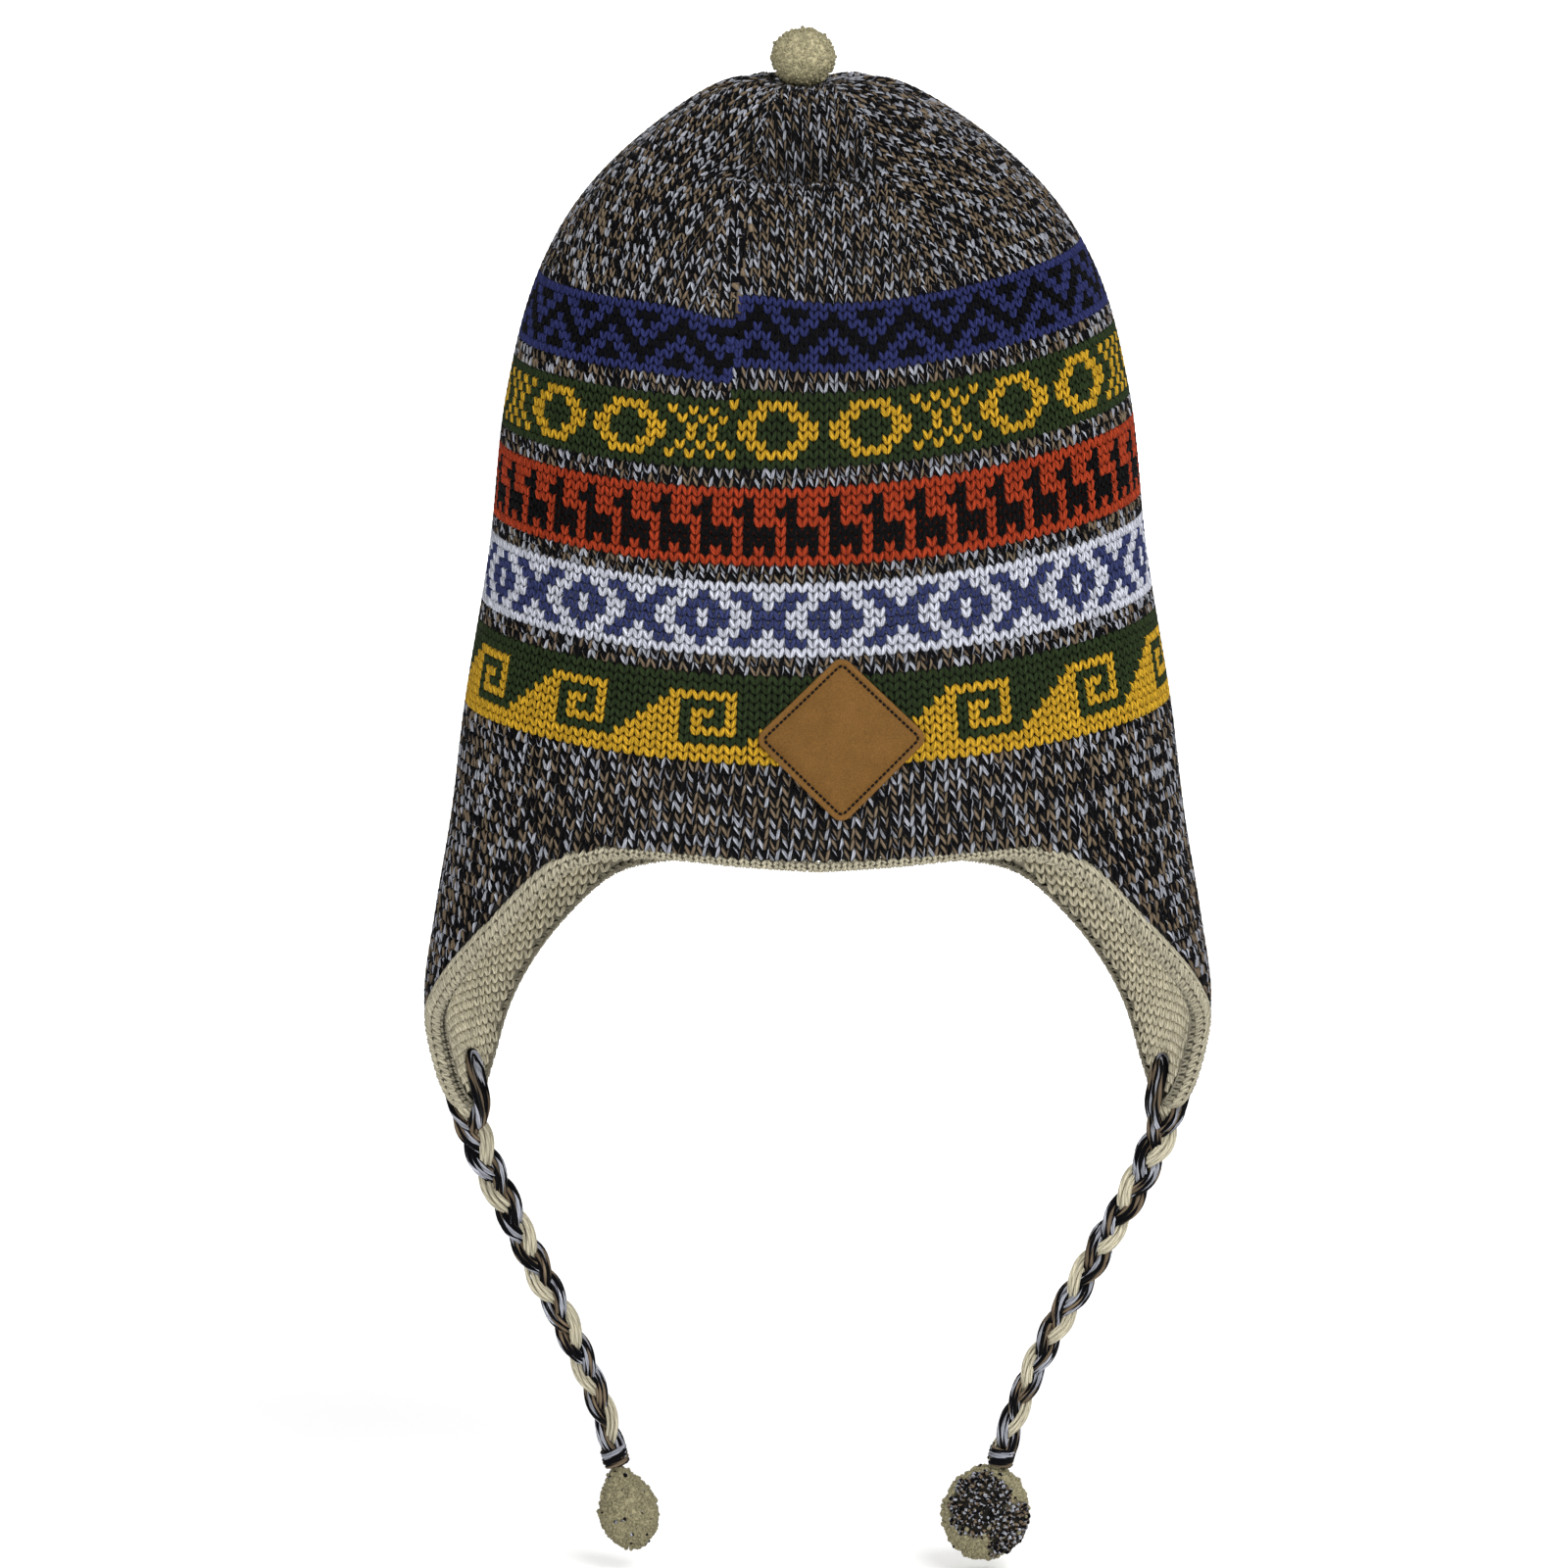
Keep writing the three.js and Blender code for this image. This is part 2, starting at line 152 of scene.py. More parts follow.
# The rows of stitches climb towards the right-hand side: height of a row, and how far it climbs there.
ROW_CLIMB = np.array((
    (-0.104, 0.0),
    (-0.010, 0.0),
    (0.000, 0.0),
    (0.040, 0.0012),
    (0.075, 0.0024),
    (0.103, 0.0038),
    (0.135, 0.0052),
    (0.165, 0.0055),
    (0.200, 0.0030),
    (0.224, 0.0),
))

# Rows also lift towards both sides, from a flap's height up to the brow, and not at the apex.
SIDE_LIFT = 0.0074
SIDE_LIFT_START = (-0.060, 0.030)
SIDE_LIFT_END = (0.180, 0.224)
# A crease on the left of the front: rows sink towards it, jump up across it and settle again.
CREASE_SHARE = -9 / 168
CREASE_WIDTH = 0.2
CREASE_DIP = 0.0028
CREASE_DIP_REACH = 11.0
CREASE_JUMP = 0.0050
CREASE_JUMP_REACH = 14.0
CREASE_START = (0.120, 0.163)
CREASE_END = (0.185, 0.212)
# The fold under the crown's pompom: azimuth and reach across in degrees, its lip and upper end, and depth.
FOLD_AZIMUTH = -6.0
FOLD_REACH = 23.0
FOLD_LIP = (0.2015, 0.2070)
FOLD_END = (0.2090, 0.2225)
FOLD_DEPTH = 0.0065
# How dark the painted shade is down in the fold.
FOLD_SHADE = 0.5

# Charts of the knitted bands, one repeat each, as seen from outside. A dot is the band's own colour.
ZIGZAG_CHART = (
    "........",
    "k..kkk..",
    "kk..k..k",
    ".kk...kk",
    "..kk.kk.",
    "k..kkk..",
    "kk..k..k",
    "........",
)
RING_CHART = (
    "........................",
    "..yyyy.....yyyy..y.y.y.y",
    ".yy..yy...yy..yy..y.y.y.",
    "yy....yy.yy....yy..y.y..",
    "yy....yy.yy....yy..y.y..",
    ".yy..yy...yy..yy..y.y.y.",
    "..yyyy.....yyyy..y.y.y.y",
    "........................",
)
LLAMA_CHART = (
    "....",
    ".k..",
    "kk..",
    ".k..",
    ".kkk",
    ".kkk",
    ".k.k",
    "....",
)
LATTICE_CHART = (
    "............",
    "n..nn...nn..",
    "nn..nn.nn..n",
    ".nn..nnn..nn",
    ".nn..nnn..nn",
    "nn..nn.nn..n",
    "n..nn...nn..",
    "............",
)
WAVE_CHART = (
    "............",
    "............",
    ".....yyyyyy.",
    "....yy....y.",
    "...yyy.yy.y.",
    "..yyyy.y..y.",
    ".yyyyy.yyyy.",
    "yyyyyy......",
    "yyyyyyyyyyyy",
    "yyyyyyyyyyyy",
)
# Bands from the top: name, chart, chart column at the middle of the front, band colour, top and bottom.
BANDS = (
    ("zigzag_band", ZIGZAG_CHART, -1, "blue", 0.1662, 0.1460),
    ("ring_band", RING_CHART, 8, "green", 0.1403, 0.1184),
    ("llama_band", LLAMA_CHART, 0, "rust", 0.1127, 0.0892),
    ("lattice_band", LATTICE_CHART, -1, "white", 0.0841, 0.0616),
    ("wave_band", WAVE_CHART, 6, "green", 0.0559, 0.0288),
)
CHART_YARNS = {"k": "black", "y": "mustard", "n": "navy"}
SPACER_ROWS = 2
BROW_ROWS = 9
BROW_MARGIN = -0.35
CROWN_WEDGES = 7
WEDGE_EDGE = -0.3

# One leg of a stitch, from its foot to its head: rows up, wales sideways, and lift off the ground.
LEG_STATIONS = np.array((
    (-0.76, 0.02, -0.0016),
    (-0.30, 0.13, -0.0004),
    (0.30, 0.345, -0.0003),
    (0.84, 0.47, -0.0014),
))
PLAIN_LEG_STATIONS = np.array((
    (-0.76, 0.02, -0.0016),
    (0.0, 0.24, -0.0002),
    (0.82, 0.46, -0.0014),
))
LEG_SIDES = 4
STITCH_WOBBLE = 0.06
LINING_TONES = 0.05
# How far short of the apex, along the rise, the crown's stitches and the walls under them end.
CROWN_END = 0.003
LINING_CROWN_END = 0.004
SHELL_END = 0.002

# The leather patch: a square that stands on one corner.
PATCH_SIDE = 0.0370
PATCH_CORNER = 0.0036
PATCH_SIDEWAYS = 0.0068
PATCH_HEIGHT = 0.0370
# Rings of the patch from its back edge to its middle: inset from the outline, and height off the knit.
PATCH_RINGS = (
    (0.0004, 0.0003),
    (0.0000, 0.0006),
    (0.0000, 0.0014),
    (0.0001, 0.00175),
    (0.0004, 0.0020),
    (0.0009, 0.0021),
    (0.0015, 0.0021),
    (0.0017, 0.0019),
    (0.0025, 0.0019),
    (0.0027, 0.0021),
    (0.0060, 0.00214),
    (0.0100, 0.00218),
    (0.0140, 0.0022),
)
PATCH_LEAST_CORNER = 0.0006
# How far in from the outline the painted highlight on the patch's edge fades out.
PATCH_HIGHLIGHT_REACH = 0.0014
PATCH_LEAN = math.radians(45)
PATCH_CORNER_POINTS = 10
PATCH_EDGE_POINTS = 24
SEAM_INSET = 0.0021
# One stitch of the seam: how far along, in stitches, and its height off the knit.
SEAM_STATIONS = np.array((
    (-0.31, 0.00155),
    (-0.26, 0.00195),
    (0.0, 0.00215),
    (0.26, 0.00195),
    (0.31, 0.00155),
))
THREAD_RADIUS = 0.00036

# The ties: drop from the flap tip and way inwards, as in the CAD.
TIE_ROUTE = np.array((
    (0.000, 0.0000),
    (0.005, 0.0009),
    (0.012, 0.0032),
    (0.020, 0.0064),
    (0.028, 0.0099),
    (0.036, 0.0135),
    (0.044, 0.0172),
    (0.052, 0.0209),
    (0.060, 0.0246),
    (0.068, 0.0282),
    (0.076, 0.0316),
    (0.084, 0.0348),
    (0.092, 0.0376),
    (0.100, 0.0400),
    (0.108, 0.0420),
    (0.113, 0.0431),
))
TIP_GAP = 0.0003
GOLDEN_TURN = math.pi * (3 - math.sqrt(5))

# How the strands of a braid lie.
CREAM_STRAND = 1
BRAID_STATIONS = 94
# The strands start a little way up inside the rolled rim.
BRAID_ROOT = 0.0035
BRAID_TAPER = 0.30
BRAID_SWAY = 0.0030
BRAID_WEAVE = 0.0016
STRAND_LAY = 0.080
STRAND_SPREAD = 0.0017
STRAND_FLATNESS = 0.75
SPREAD_SWAY = 0.12
YARN_SWAY = 0.08
TIE_SIDES = 5
# The rings of a long yarn start on this side, which no yarn runs along.
YARN_GUIDE = np.array((0.13, -0.97, 0.21))
TIE_TWIST = 0.009
# Yarns that hold a braid in its flap: nested arches, each with its half width and height, over the stations
# share of the half width, way up from the flap's edge, share of the height, and depth from mid wall.
LOOP_ARCHES = ((0.0011, 0.0104), (0.0029, 0.0117), (0.0047, 0.0130))
LOOP_POINTS = 36
LOOP_SWAY = 0.04
LOOP_STATIONS = np.array((
    (-0.30, -0.0110, 0.00, 0.0012),
    (-0.70, -0.0075, 0.00, 0.0030),
    (-1.00, -0.0030, 0.00, 0.0043),
    (-1.05, 0.0000, 0.30, 0.0044),
    (-1.00, 0.0000, 0.70, 0.0043),
    (-0.65, 0.0000, 0.95, 0.0043),
    (0.00, 0.0000, 1.05, 0.0042),
    (0.65, 0.0000, 0.95, 0.0043),
    (1.00, 0.0000, 0.70, 0.0043),
    (1.05, 0.0000, 0.30, 0.0044),
    (1.00, -0.0030, 0.00, 0.0043),
    (0.70, -0.0075, 0.00, 0.0030),
    (0.30, -0.0110, 0.00, 0.0012),
))
WRAP_TURNS = 5
WRAP_LENGTH = 0.0055
WRAP_RADIUS = 0.0036
WRAP_END = 0.0006
WRAP_TURN_POINTS = 12
WRAP_THINNESS = 0.8
# The pompom on the crown: its foot, and its radius, half height and taper.
CROWN_POMPOM_FOOT = (-0.0045, 0.0, 0.2239)
CROWN_POMPOM_SIZE = (0.0096, 0.0089, 0.0)
# How the cut yarns of a pompom stand.
POMPOM_SIDES = 5
POMPOM_MESS = 0.03
POMPOM_LEAN = 0.0003
POMPOM_UNEVEN = 0.007
POMPOM_LENGTHS = (0.9, 1.03)
POMPOM_THICKNESS = np.array((0.8, 1.0, 0.92))
POMPOM_THICKNESSES = 0.1
POMPOM_STATIONS = np.array((0.76, 0.82, 0.93, 0.985, 1.01))
POMPOM_CORE = 0.965
# Painted shade on a pompom's core, between its cut yarns.
POMPOM_CORE_PAINTED_SHADE = 0.9
POMPOM_TONES = 0.045
POMPOM_CORE_RINGS = 18
POMPOM_CORE_SIDES = 32
POMPOM_TWIST = 0.006
FEW_DARK_SHARE = 0.05
# Dark zones of a pompom: the way to each one's middle, and the cosine of the angle out to its edge.
DARK_ZONES = (
    ((-0.22, -0.85, 0.42), 0.66),
    ((0.72, -0.60, -0.40), 0.74),
    ((0.1, 0.9, 0.2), 0.85),
)
DARK_ZONE_BLUR = 8
DARK_ZONE_SHARES = (0.02, 0.97)

# Where one ply ends and the next starts, of four plies round the yarn.
PLY_EDGES = (1.45, 2.35, 3.1)
# Finish of the yarn, and how dark the painted shade of the ground is between the stitches.
YARN_ROUGHNESS = 0.85
YARN_SHEEN = 0.02
SHEEN_ROUGHNESS = 0.5
SPECULAR_LEVEL = 0.06
# Bumps: strength and height.
YARN_BUMP = (0.6, 0.0003)
GROUND_BUMP = (0.5, 0.0006)
LEATHER_BUMP = (0.35, 0.00012)
# Scales of the noise on a yarn, along it, from piece to piece and round it, and the span noise mostly lies in.
PATCHY_SCALE = (0.8, 61.0, 1.3)
# The same for fibres: round the yarn, along it and from piece to piece.
FIBRE_SCALE = (26.0, 3.0, 97.0)
PATCHY_SPAN = (0.38, 0.62)
NOISE_SPAN = (0.3, 0.7)
FIBRE_HEIGHT = 0.35
# Grain of the ground, the leather and the floor.
GROUND_SCALE = 900.0
PORE_SCALE = 1500.0
BLOTCH_SCALE = 160.0
NAP_SCALE = 2400.0
FLOOR_SCALE = 3.0
# Painted shade of the ground between the stitches, as a share of the marl's colour and of a band's colour.
MARL_GROUND_SHADE = 0.12
BAND_GROUND_SHADE = 0.3
SHELL_COLUMNS = 120
SHELL_ROWS = 50
OUTER_GROUND = (-0.0013, -0.0028)
LINING_GROUND = (-0.0020, -0.0010)
CORE_SIDES = 8
CORE_SHRINK = -0.0009
DEEP_LINING_HEIGHT = 0.002
# Painted light that brightens the lining's cream inside the hat.
LINING_PAINTED_LIGHT = 1.45
# Painted shade on the lining next to the rolled rim, and how far up from the rim it fades out.
RIM_PAINTED_SHADE = 0.78
RIM_PAINTED_SHADE_REACH = 0.010
# Painted shade of the lining's ground and of the roll's core.
LINING_GROUND_SHADE = 0.2
ROLL_TONE = 0.88
# Painted shade on the roll's rows that face into the hat, and how far they reach from its inner middle, in
# turns.
ROLL_INNER_PAINTED_SHADE = 0.6
ROLL_INNER_SHADE_REACH = 0.15

# The stage.
FLOOR_GAP = 0.004
FLOOR_SIZE = 14.0
WORLD_LIGHT = 0.50
# Soft lamps: name, place, what each is aimed at, size and watts.
LAMPS = (
    ("key_light", (0.9, -1.5, 1.6), (0.0, 0.0, 0.0), (1.4, 1.2), 40),
    ("fill_light", (-0.4, -2.3, 0.0), (0.0, 0.0, 0.0), (1.8, 0.9), 30),
    ("back_light", (0.0, 2.8, 2.0), (0.0, 2.8, 0.0), (4.0, 3.0), 130),
)


def linear(red, green, blue):
    """A screen colour of 0 to 255 as the linear colour that shaders use."""
    screen = np.array((red, green, blue)) / 255
    low = screen / 12.92
    high = ((screen + 0.055) / 1.055) ** 2.4
    return tuple(float(v) for v in np.where(screen <= 0.04045, low, high))


def colour_setting(name, description, screen):
    return FloatVectorProperty(
        name=name, description=description, subtype="COLOR", min=0, max=1, default=linear(*screen)
    )


def length_setting(name, description, default):
    return FloatProperty(
        name=name, description=description, default=default, min=0.0001, max=1, unit="LENGTH", precision=5
    )


def count_setting(name, description, default, least):
    return IntProperty(name=name, description=description, default=default, min=least)


def share_setting(name, description, default):
    return FloatProperty(
        name=name, description=description, subtype="FACTOR", min=0.1, max=1, default=default
    )


class HatKnitSettings(bpy.types.PropertyGroup):
    """Gauge and yarn of the knits."""

    wales: count_setting("Wales", "Stitches round the outer knit, a multiple of every chart", 168, 24)
    lining_wales: count_setting("Lining wales", "Stitches round the lining", 168, 24)
    crown_stitch: length_setting("Crown stitch", "Width that crown decreases keep a stitch to", 0.00295)
    crown_row: length_setting("Crown row", "Height of a row in the crown", 0.00285)
    lining_row: length_setting("Lining row", "Height of a row in the lining", 0.0031)
    roll_stitch: length_setting("Roll stitch", "Width of a stitch along the rolled rim", 0.0034)
    roll_rows: count_setting("Roll rows", "Rows of stitches round the rolled rim", 6, 3)
    yarn_width: share_setting("Yarn width", "Half the yarn's width, in wales", 0.225)
    lining_yarn_width: share_setting("Lining yarn width", "The same in the lining and the rim", 0.2)
    yarn_thickness: length_setting("Yarn thickness", "Half the yarn's thickness off the fabric", 0.00075)


class HatYarnSettings(bpy.types.PropertyGroup):
    """Colours of the yarns and the leather."""

    marl_dark: colour_setting("Marl dark", "Dark plies of the marl yarn", (9, 9, 13))
    marl_pale: colour_setting("Marl pale", "Pale ply of the marl yarn", (198, 201, 212))
    marl_tan: colour_setting("Marl tan", "Tan ply of the marl yarn", (134, 117, 96))
    blue: colour_setting("Blue", "Ground of the zigzag band", (52, 58, 112))
    black: colour_setting("Black", "Zigzags and animals", (11, 11, 14))
    green: colour_setting("Green", "Ground of the ring and wave bands", (48, 62, 34))
    mustard: colour_setting("Mustard", "Rings and waves", (226, 178, 48))
    rust: colour_setting("Rust", "Ground of the animal band", (186, 68, 36))
    white: colour_setting("White", "Ground of the lattice band", (232, 235, 248))
    navy: colour_setting("Navy", "Lattice", (62, 70, 118))
    cream: colour_setting("Cream", "Lining, rim and one strand of the braids", (214, 206, 180))
    pompom: colour_setting("Pompom", "Pompom yarn", (178, 170, 136))
    leather: colour_setting("Leather", "Face of the patch", (104, 73, 35))
    # A painted highlight along the patch's edge, a little lighter than its face.
    leather_edge_highlight: colour_setting("Leather edge highlight", "Painted highlight along the patch's edge", (112, 79, 39))
    thread: colour_setting("Thread", "Seam of the patch", (22, 18, 16))


class HatTieSettings(bpy.types.PropertyGroup):
    """Braids and pompoms."""

    braid_diameter: length_setting("Braid diameter", "Width of a braided tie", 0.0096)
    braid_repeat: length_setting("Braid repeat", "Length in which a strand returns to its place", 0.0320)
    yarn_radius: length_setting("Tie yarn radius", "Half the thickness of a tie's yarn", 0.00092)
    strand_yarns: count_setting("Strand yarns", "Yarns in a strand round its middle one", 6, 3)
    pompom_yarns: count_setting("Pompom yarns", "Cut yarns of a pompom", 1050, 50)
    pompom_fullness: share_setting("Pompom fullness", "Half a cut yarn's width, in gaps between them", 0.58)
    seam_stitch: length_setting("Seam stitch", "Pitch of the stitches round the patch", 0.00162)


def unit(vectors):
    return vectors / np.maximum(np.linalg.norm(vectors, axis=-1, keepdims=True), 1e-12)


def step_lengths(points):
    return np.linalg.norm(np.diff(points, axis=0), axis=1)


def running_length(steps):
    """How far from the start each point lies, from the steps between points."""
    return np.concatenate(((0,), np.cumsum(steps)))


def smooth_curve(places, values):
    """A smooth curve through the rows of a table, as a function of place."""
    secants = np.diff(values, axis=0) / np.diff(places)[:, None]
    slopes = np.vstack((secants[:1], (secants[1:] + secants[:-1]) / 2, secants[-1:]))

    def at(place):
        place = np.clip(place, places[0], places[-1])
        left = np.clip(np.searchsorted(places, place, side="right") - 1, 0, len(places) - 2)
        span = (places[left + 1] - places[left])[..., None]
        share = (place - places[left])[..., None] / span
        start, end = values[left], values[left + 1]
        bend = share * (1 - share) * ((1 - share) * (slopes[left] * span - (end - start))
                                      + share * ((end - start) - slopes[left + 1] * span))
        return start + (end - start) * share + bend

    return at


SECTION_RISES = running_length(np.hypot(np.diff(SECTIONS[:, 0]), np.diff(SECTIONS[:, 1])))
APEX_RISE = SECTION_RISES[-1]
section_at = smooth_curve(SECTION_RISES, SECTIONS)
rim_at = smooth_curve(np.radians(RIM[:, 0]), RIM[:, 1:])
climb_at = smooth_curve(ROW_CLIMB[:, 0], ROW_CLIMB[:, 1:])
PROBED_RISES = np.linspace(0, SECTION_RISES[WALL_TOP_SECTION], RISE_SAMPLES)
PROBED_HEIGHTS = section_at(PROBED_RISES)[:, 0]


def rise_at_height(height):
    """The rise of a height on the side wall, where height grows all the way up."""
    return np.interp(height, PROBED_HEIGHTS, PROBED_RISES)


def from_front(azimuth):
    """The same azimuth, within half a turn of the front."""
    return (azimuth + math.pi) % FULL_TURN - math.pi


def rim_rise(azimuth):
    return rise_at_height(rim_at(np.abs(from_front(azimuth)))[..., 0])


def smooth_step(value, low, high):
    share = np.clip((value - low) / (high - low), 0, 1)
    return share * share * (3 - 2 * share)


def fold_share(azimuth, height):
    """How deep a place lies in the fold under the crown's pompom, from 0 to 1."""
    sideways = np.degrees(from_front(azimuth)) - FOLD_AZIMUTH
    inside = smooth_step(height, *FOLD_LIP) * (1 - smooth_step(height, *FOLD_END))
    return inside * np.exp(-((sideways / FOLD_REACH) ** 2))


def pressed_depth(azimuth, section):
    """How far the outer face is pressed in by its dents and by the gathers round the crown."""
    turned = from_front(azimuth)
    height, half_width = section[..., 0], section[..., 1]
    depth = 0
    for middle, across, level, along, deep in DENTS:
        sideways = (turned - math.radians(middle)) / math.radians(across)
        depth = depth + deep * np.exp(-(sideways ** 2) - ((height - level) / along) ** 2)
    depth = depth + FOLD_DEPTH * fold_share(azimuth, height)
    ripple = 0.5 + 0.5 * np.cos(GATHER_FOLDS * azimuth)
    depth = depth + GATHER_DEPTH * ripple * np.exp(-(((half_width - GATHER_RADIUS) / GATHER_SPREAD) ** 2))
    return depth * smooth_step(half_width, HOLLOW_RADIUS, FULL_FOLD_RADIUS)


def face_point(azimuth, rise):
    azimuth, rise = np.broadcast_arrays(azimuth, rise)
    section = section_at(rise)
    height, half_width, half_depth, lean = np.moveaxis(section, -1, 0)
    point = np.stack((lean + half_width * np.sin(azimuth), -half_depth * np.cos(azimuth), height), axis=-1)
    heart = np.stack((lean, np.zeros_like(lean), np.minimum(height, HEART_HEIGHT)), axis=-1)
    return point + unit(heart - point) * pressed_depth(azimuth, section)[..., None]


def face_normal(azimuth, rise):
    across = face_point(azimuth + PROBE_TURN, rise) - face_point(azimuth - PROBE_TURN, rise)
    upwards = face_point(azimuth, rise + PROBE_RISE) - face_point(azimuth, rise - PROBE_RISE)
    return unit(np.cross(across, upwards))


def wall_point(azimuth, rise, depth):
    """A point of the wall, a depth in from the outer face."""
    return face_point(azimuth, rise) - face_normal(azimuth, rise) * np.asarray(depth)[..., None]


def even_azimuth():
    """A function that turns a share of the way round, from the front, into the azimuth of a wale."""
    _, half_width, half_depth, _ = section_at(rise_at_height(np.array(EVEN_HEIGHT)))
    azimuths = np.linspace(-math.pi, math.pi, AZIMUTH_SAMPLES)
    centres = (azimuths[1:] + azimuths[:-1]) / 2
    lengths = running_length(np.hypot(half_width * np.cos(centres), half_depth * np.sin(centres)))
    shares = lengths / lengths[-1] - 0.5

    def at(share):
        turns = np.round(share)
        return np.interp(share - turns, shares, azimuths) + FULL_TURN * turns

    return at


azimuth_at = even_azimuth()
CREASE_AZIMUTH = float(np.degrees(azimuth_at(np.array(CREASE_SHARE))))


def row_climb(azimuth, rise):
    """How far a row climbs above its own rise: to the right, at both sides, and past the crease."""
    height = section_at(rise)[..., 0]
    climb = climb_at(height)[..., 0] * np.sin(azimuth)
    lifted = smooth_step(height, *SIDE_LIFT_START) * (1 - smooth_step(height, *SIDE_LIFT_END))
    climb = climb + SIDE_LIFT * lifted * np.sin(azimuth) ** 2
    past = np.degrees(from_front(azimuth)) - CREASE_AZIMUTH
    dip = -CREASE_DIP * np.exp(-((past / CREASE_DIP_REACH) ** 2))
    jump = CREASE_JUMP * np.exp(-((past / CREASE_JUMP_REACH) ** 2))
    creased = smooth_step(height, *CREASE_START) * (1 - smooth_step(height, *CREASE_END))
    return climb + creased * (dip + (jump - dip) * smooth_step(past, -CREASE_WIDTH / 2, CREASE_WIDTH / 2))


def outer_wall_place(share, rise, lift):
    """A point over the outer face, by share round, rise and lift off the face, and which way is out."""
    azimuth = azimuth_at(share)
    normal = face_normal(azimuth, rise)
    return face_point(azimuth, rise) + normal * lift[..., None], normal


def outer_place(share, rise, lift):
    """Where a point of the outer knit lies: its rise is that of its row at the middle of the front."""
    return outer_wall_place(share, rise + row_climb(azimuth_at(share), rise), lift)


def lining_place(share, rise, lift):
    azimuth = azimuth_at(share)
    normal = face_normal(azimuth, rise)
    return face_point(azimuth, rise) - normal * (FULL_WALL + lift)[..., None], -normal


def spindle_template(rings, sides):
    """Faces of one closed piece of yarn: a tip, rings of points and a tip. Gives each face's size, and for
    each of its corners the point, the share of the way round and the station along."""
    corners, sizes = [], []

    def corner(ring, side):
        return (1 + ring * sides + side % sides, side / sides, ring + 1)

    for side in range(sides):
        middle = (side + 0.5) / sides
        corners += [(0, middle, 0), corner(0, side + 1), corner(0, side)]
        sizes.append(3)
        for ring in range(rings - 1):
            corners += [corner(ring, side), corner(ring, side + 1)]
            corners += [corner(ring + 1, side + 1), corner(ring + 1, side)]
            sizes.append(4)
        end = (1 + rings * sides, middle, rings + 1)
        corners += [corner(rings - 1, side), corner(rings - 1, side + 1), end]
        sizes.append(3)
    points, turns, stations = zip(*corners)
    return np.array(sizes), np.array(points), np.array(turns), np.array(stations)


def spindle_points(spines, outward, half_widths, half_thicknesses, sides):
    """Points of closed pieces of yarn along spines of (pieces, stations, 3), with a tip at each end."""
    along = unit(spines[:, 2:] - spines[:, :-2])
    across = unit(np.cross(along, outward))
    lift = np.cross(across, along)
    turns = FULL_TURN * np.arange(sides) / sides
    sideways = -np.cos(turns)[:, None] * (across * half_widths[..., None])[:, :, None]
    upwards = np.sin(turns)[:, None] * (lift * half_thicknesses[..., None])[:, :, None]
    rings = spines[:, 1:-1, None] + sideways + upwards
    return np.concatenate((spines[:, :1], rings.reshape(len(spines), -1, 3), spines[:, -1:]), axis=1)


class YarnMesh:
    """Collects closed pieces of yarn, and joins them into one mesh with what yarn shaders read."""

    def __init__(self):
        self.points, self.colours, self.sizes, self.corners = [], [], [], []
        self.plies, self.slots = [], []
        self.count = 0

    def add(self, points, sides, lengths, seeds, colours, slot=0):
        """Adds pieces of (pieces, points, 3), with lengths along for each station, in turns of the twist."""
        pieces, per_piece = points.shape[:2]
        rings = (per_piece - 2) // sides
        sizes, corners, turns, stations = spindle_template(rings, sides)
        first = self.count + per_piece * np.arange(pieces)
        self.points.append(points.reshape(-1, 3))
        self.colours.append(np.repeat(colours, per_piece, axis=0))
        self.sizes.append(np.tile(sizes, pieces))
        self.corners.append((first[:, None] + corners).ravel())
        ply = np.stack((
            np.broadcast_to(turns, (pieces, len(turns))),
            lengths[:, stations],
            np.broadcast_to(seeds[:, None], (pieces, len(turns))),
        ), axis=-1)
        self.plies.append(ply.reshape(-1, 3))
        self.slots.append(np.full(pieces * len(sizes), slot))
        self.count += pieces * per_piece

    def build(self, name, materials):
        arrays = (np.concatenate(part) for part in (self.points, self.corners, self.sizes))
        piece = mesh_piece(name, *arrays, materials)
        mesh = piece.data
        mesh.polygons.foreach_set("material_index", np.concatenate(self.slots).astype(np.int32))
        ply = mesh.attributes.new("ply", "FLOAT_VECTOR", "CORNER")
        ply.data.foreach_set("vector", np.concatenate(self.plies).astype(np.float32).ravel())
        paint_points(mesh, np.concatenate(self.colours))
        return piece


def mesh_piece(name, points, corners, sizes, materials):
    """A smooth mesh object from arrays of points, face corners and face sizes."""
    mesh = bpy.data.meshes.new(name)
    mesh.vertices.add(len(points))
    mesh.vertices.foreach_set("co", points.astype(np.float32).ravel())
    mesh.loops.add(len(corners))
    mesh.loops.foreach_set("vertex_index", corners.astype(np.int32))
    mesh.polygons.add(len(sizes))
    starts = np.concatenate(((0,), np.cumsum(sizes)[:-1]))
    mesh.polygons.foreach_set("loop_start", starts.astype(np.int32))
    mesh.update(calc_edges=True)
    mesh.shade_smooth()
    for material in materials:
        mesh.materials.append(material)
    piece = bpy.data.objects.new(name, mesh)
    bpy.context.scene.collection.objects.link(piece)
    return piece


def paint_points(mesh, colours):
    paint = mesh.attributes.new("yarn_colour", "FLOAT_COLOR", "POINT")
    rgba = np.concatenate((colours, np.ones((len(colours), 1))), axis=1)
    paint.data.foreach_set("color", rgba.astype(np.float32).ravel())


def dress(piece, slot, *nodes):
    """A finished piece rides on the hat and stands for CAD nodes. Its slot is not used."""
    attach(piece, BODY)
    if nodes:
        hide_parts(*nodes)
    return piece


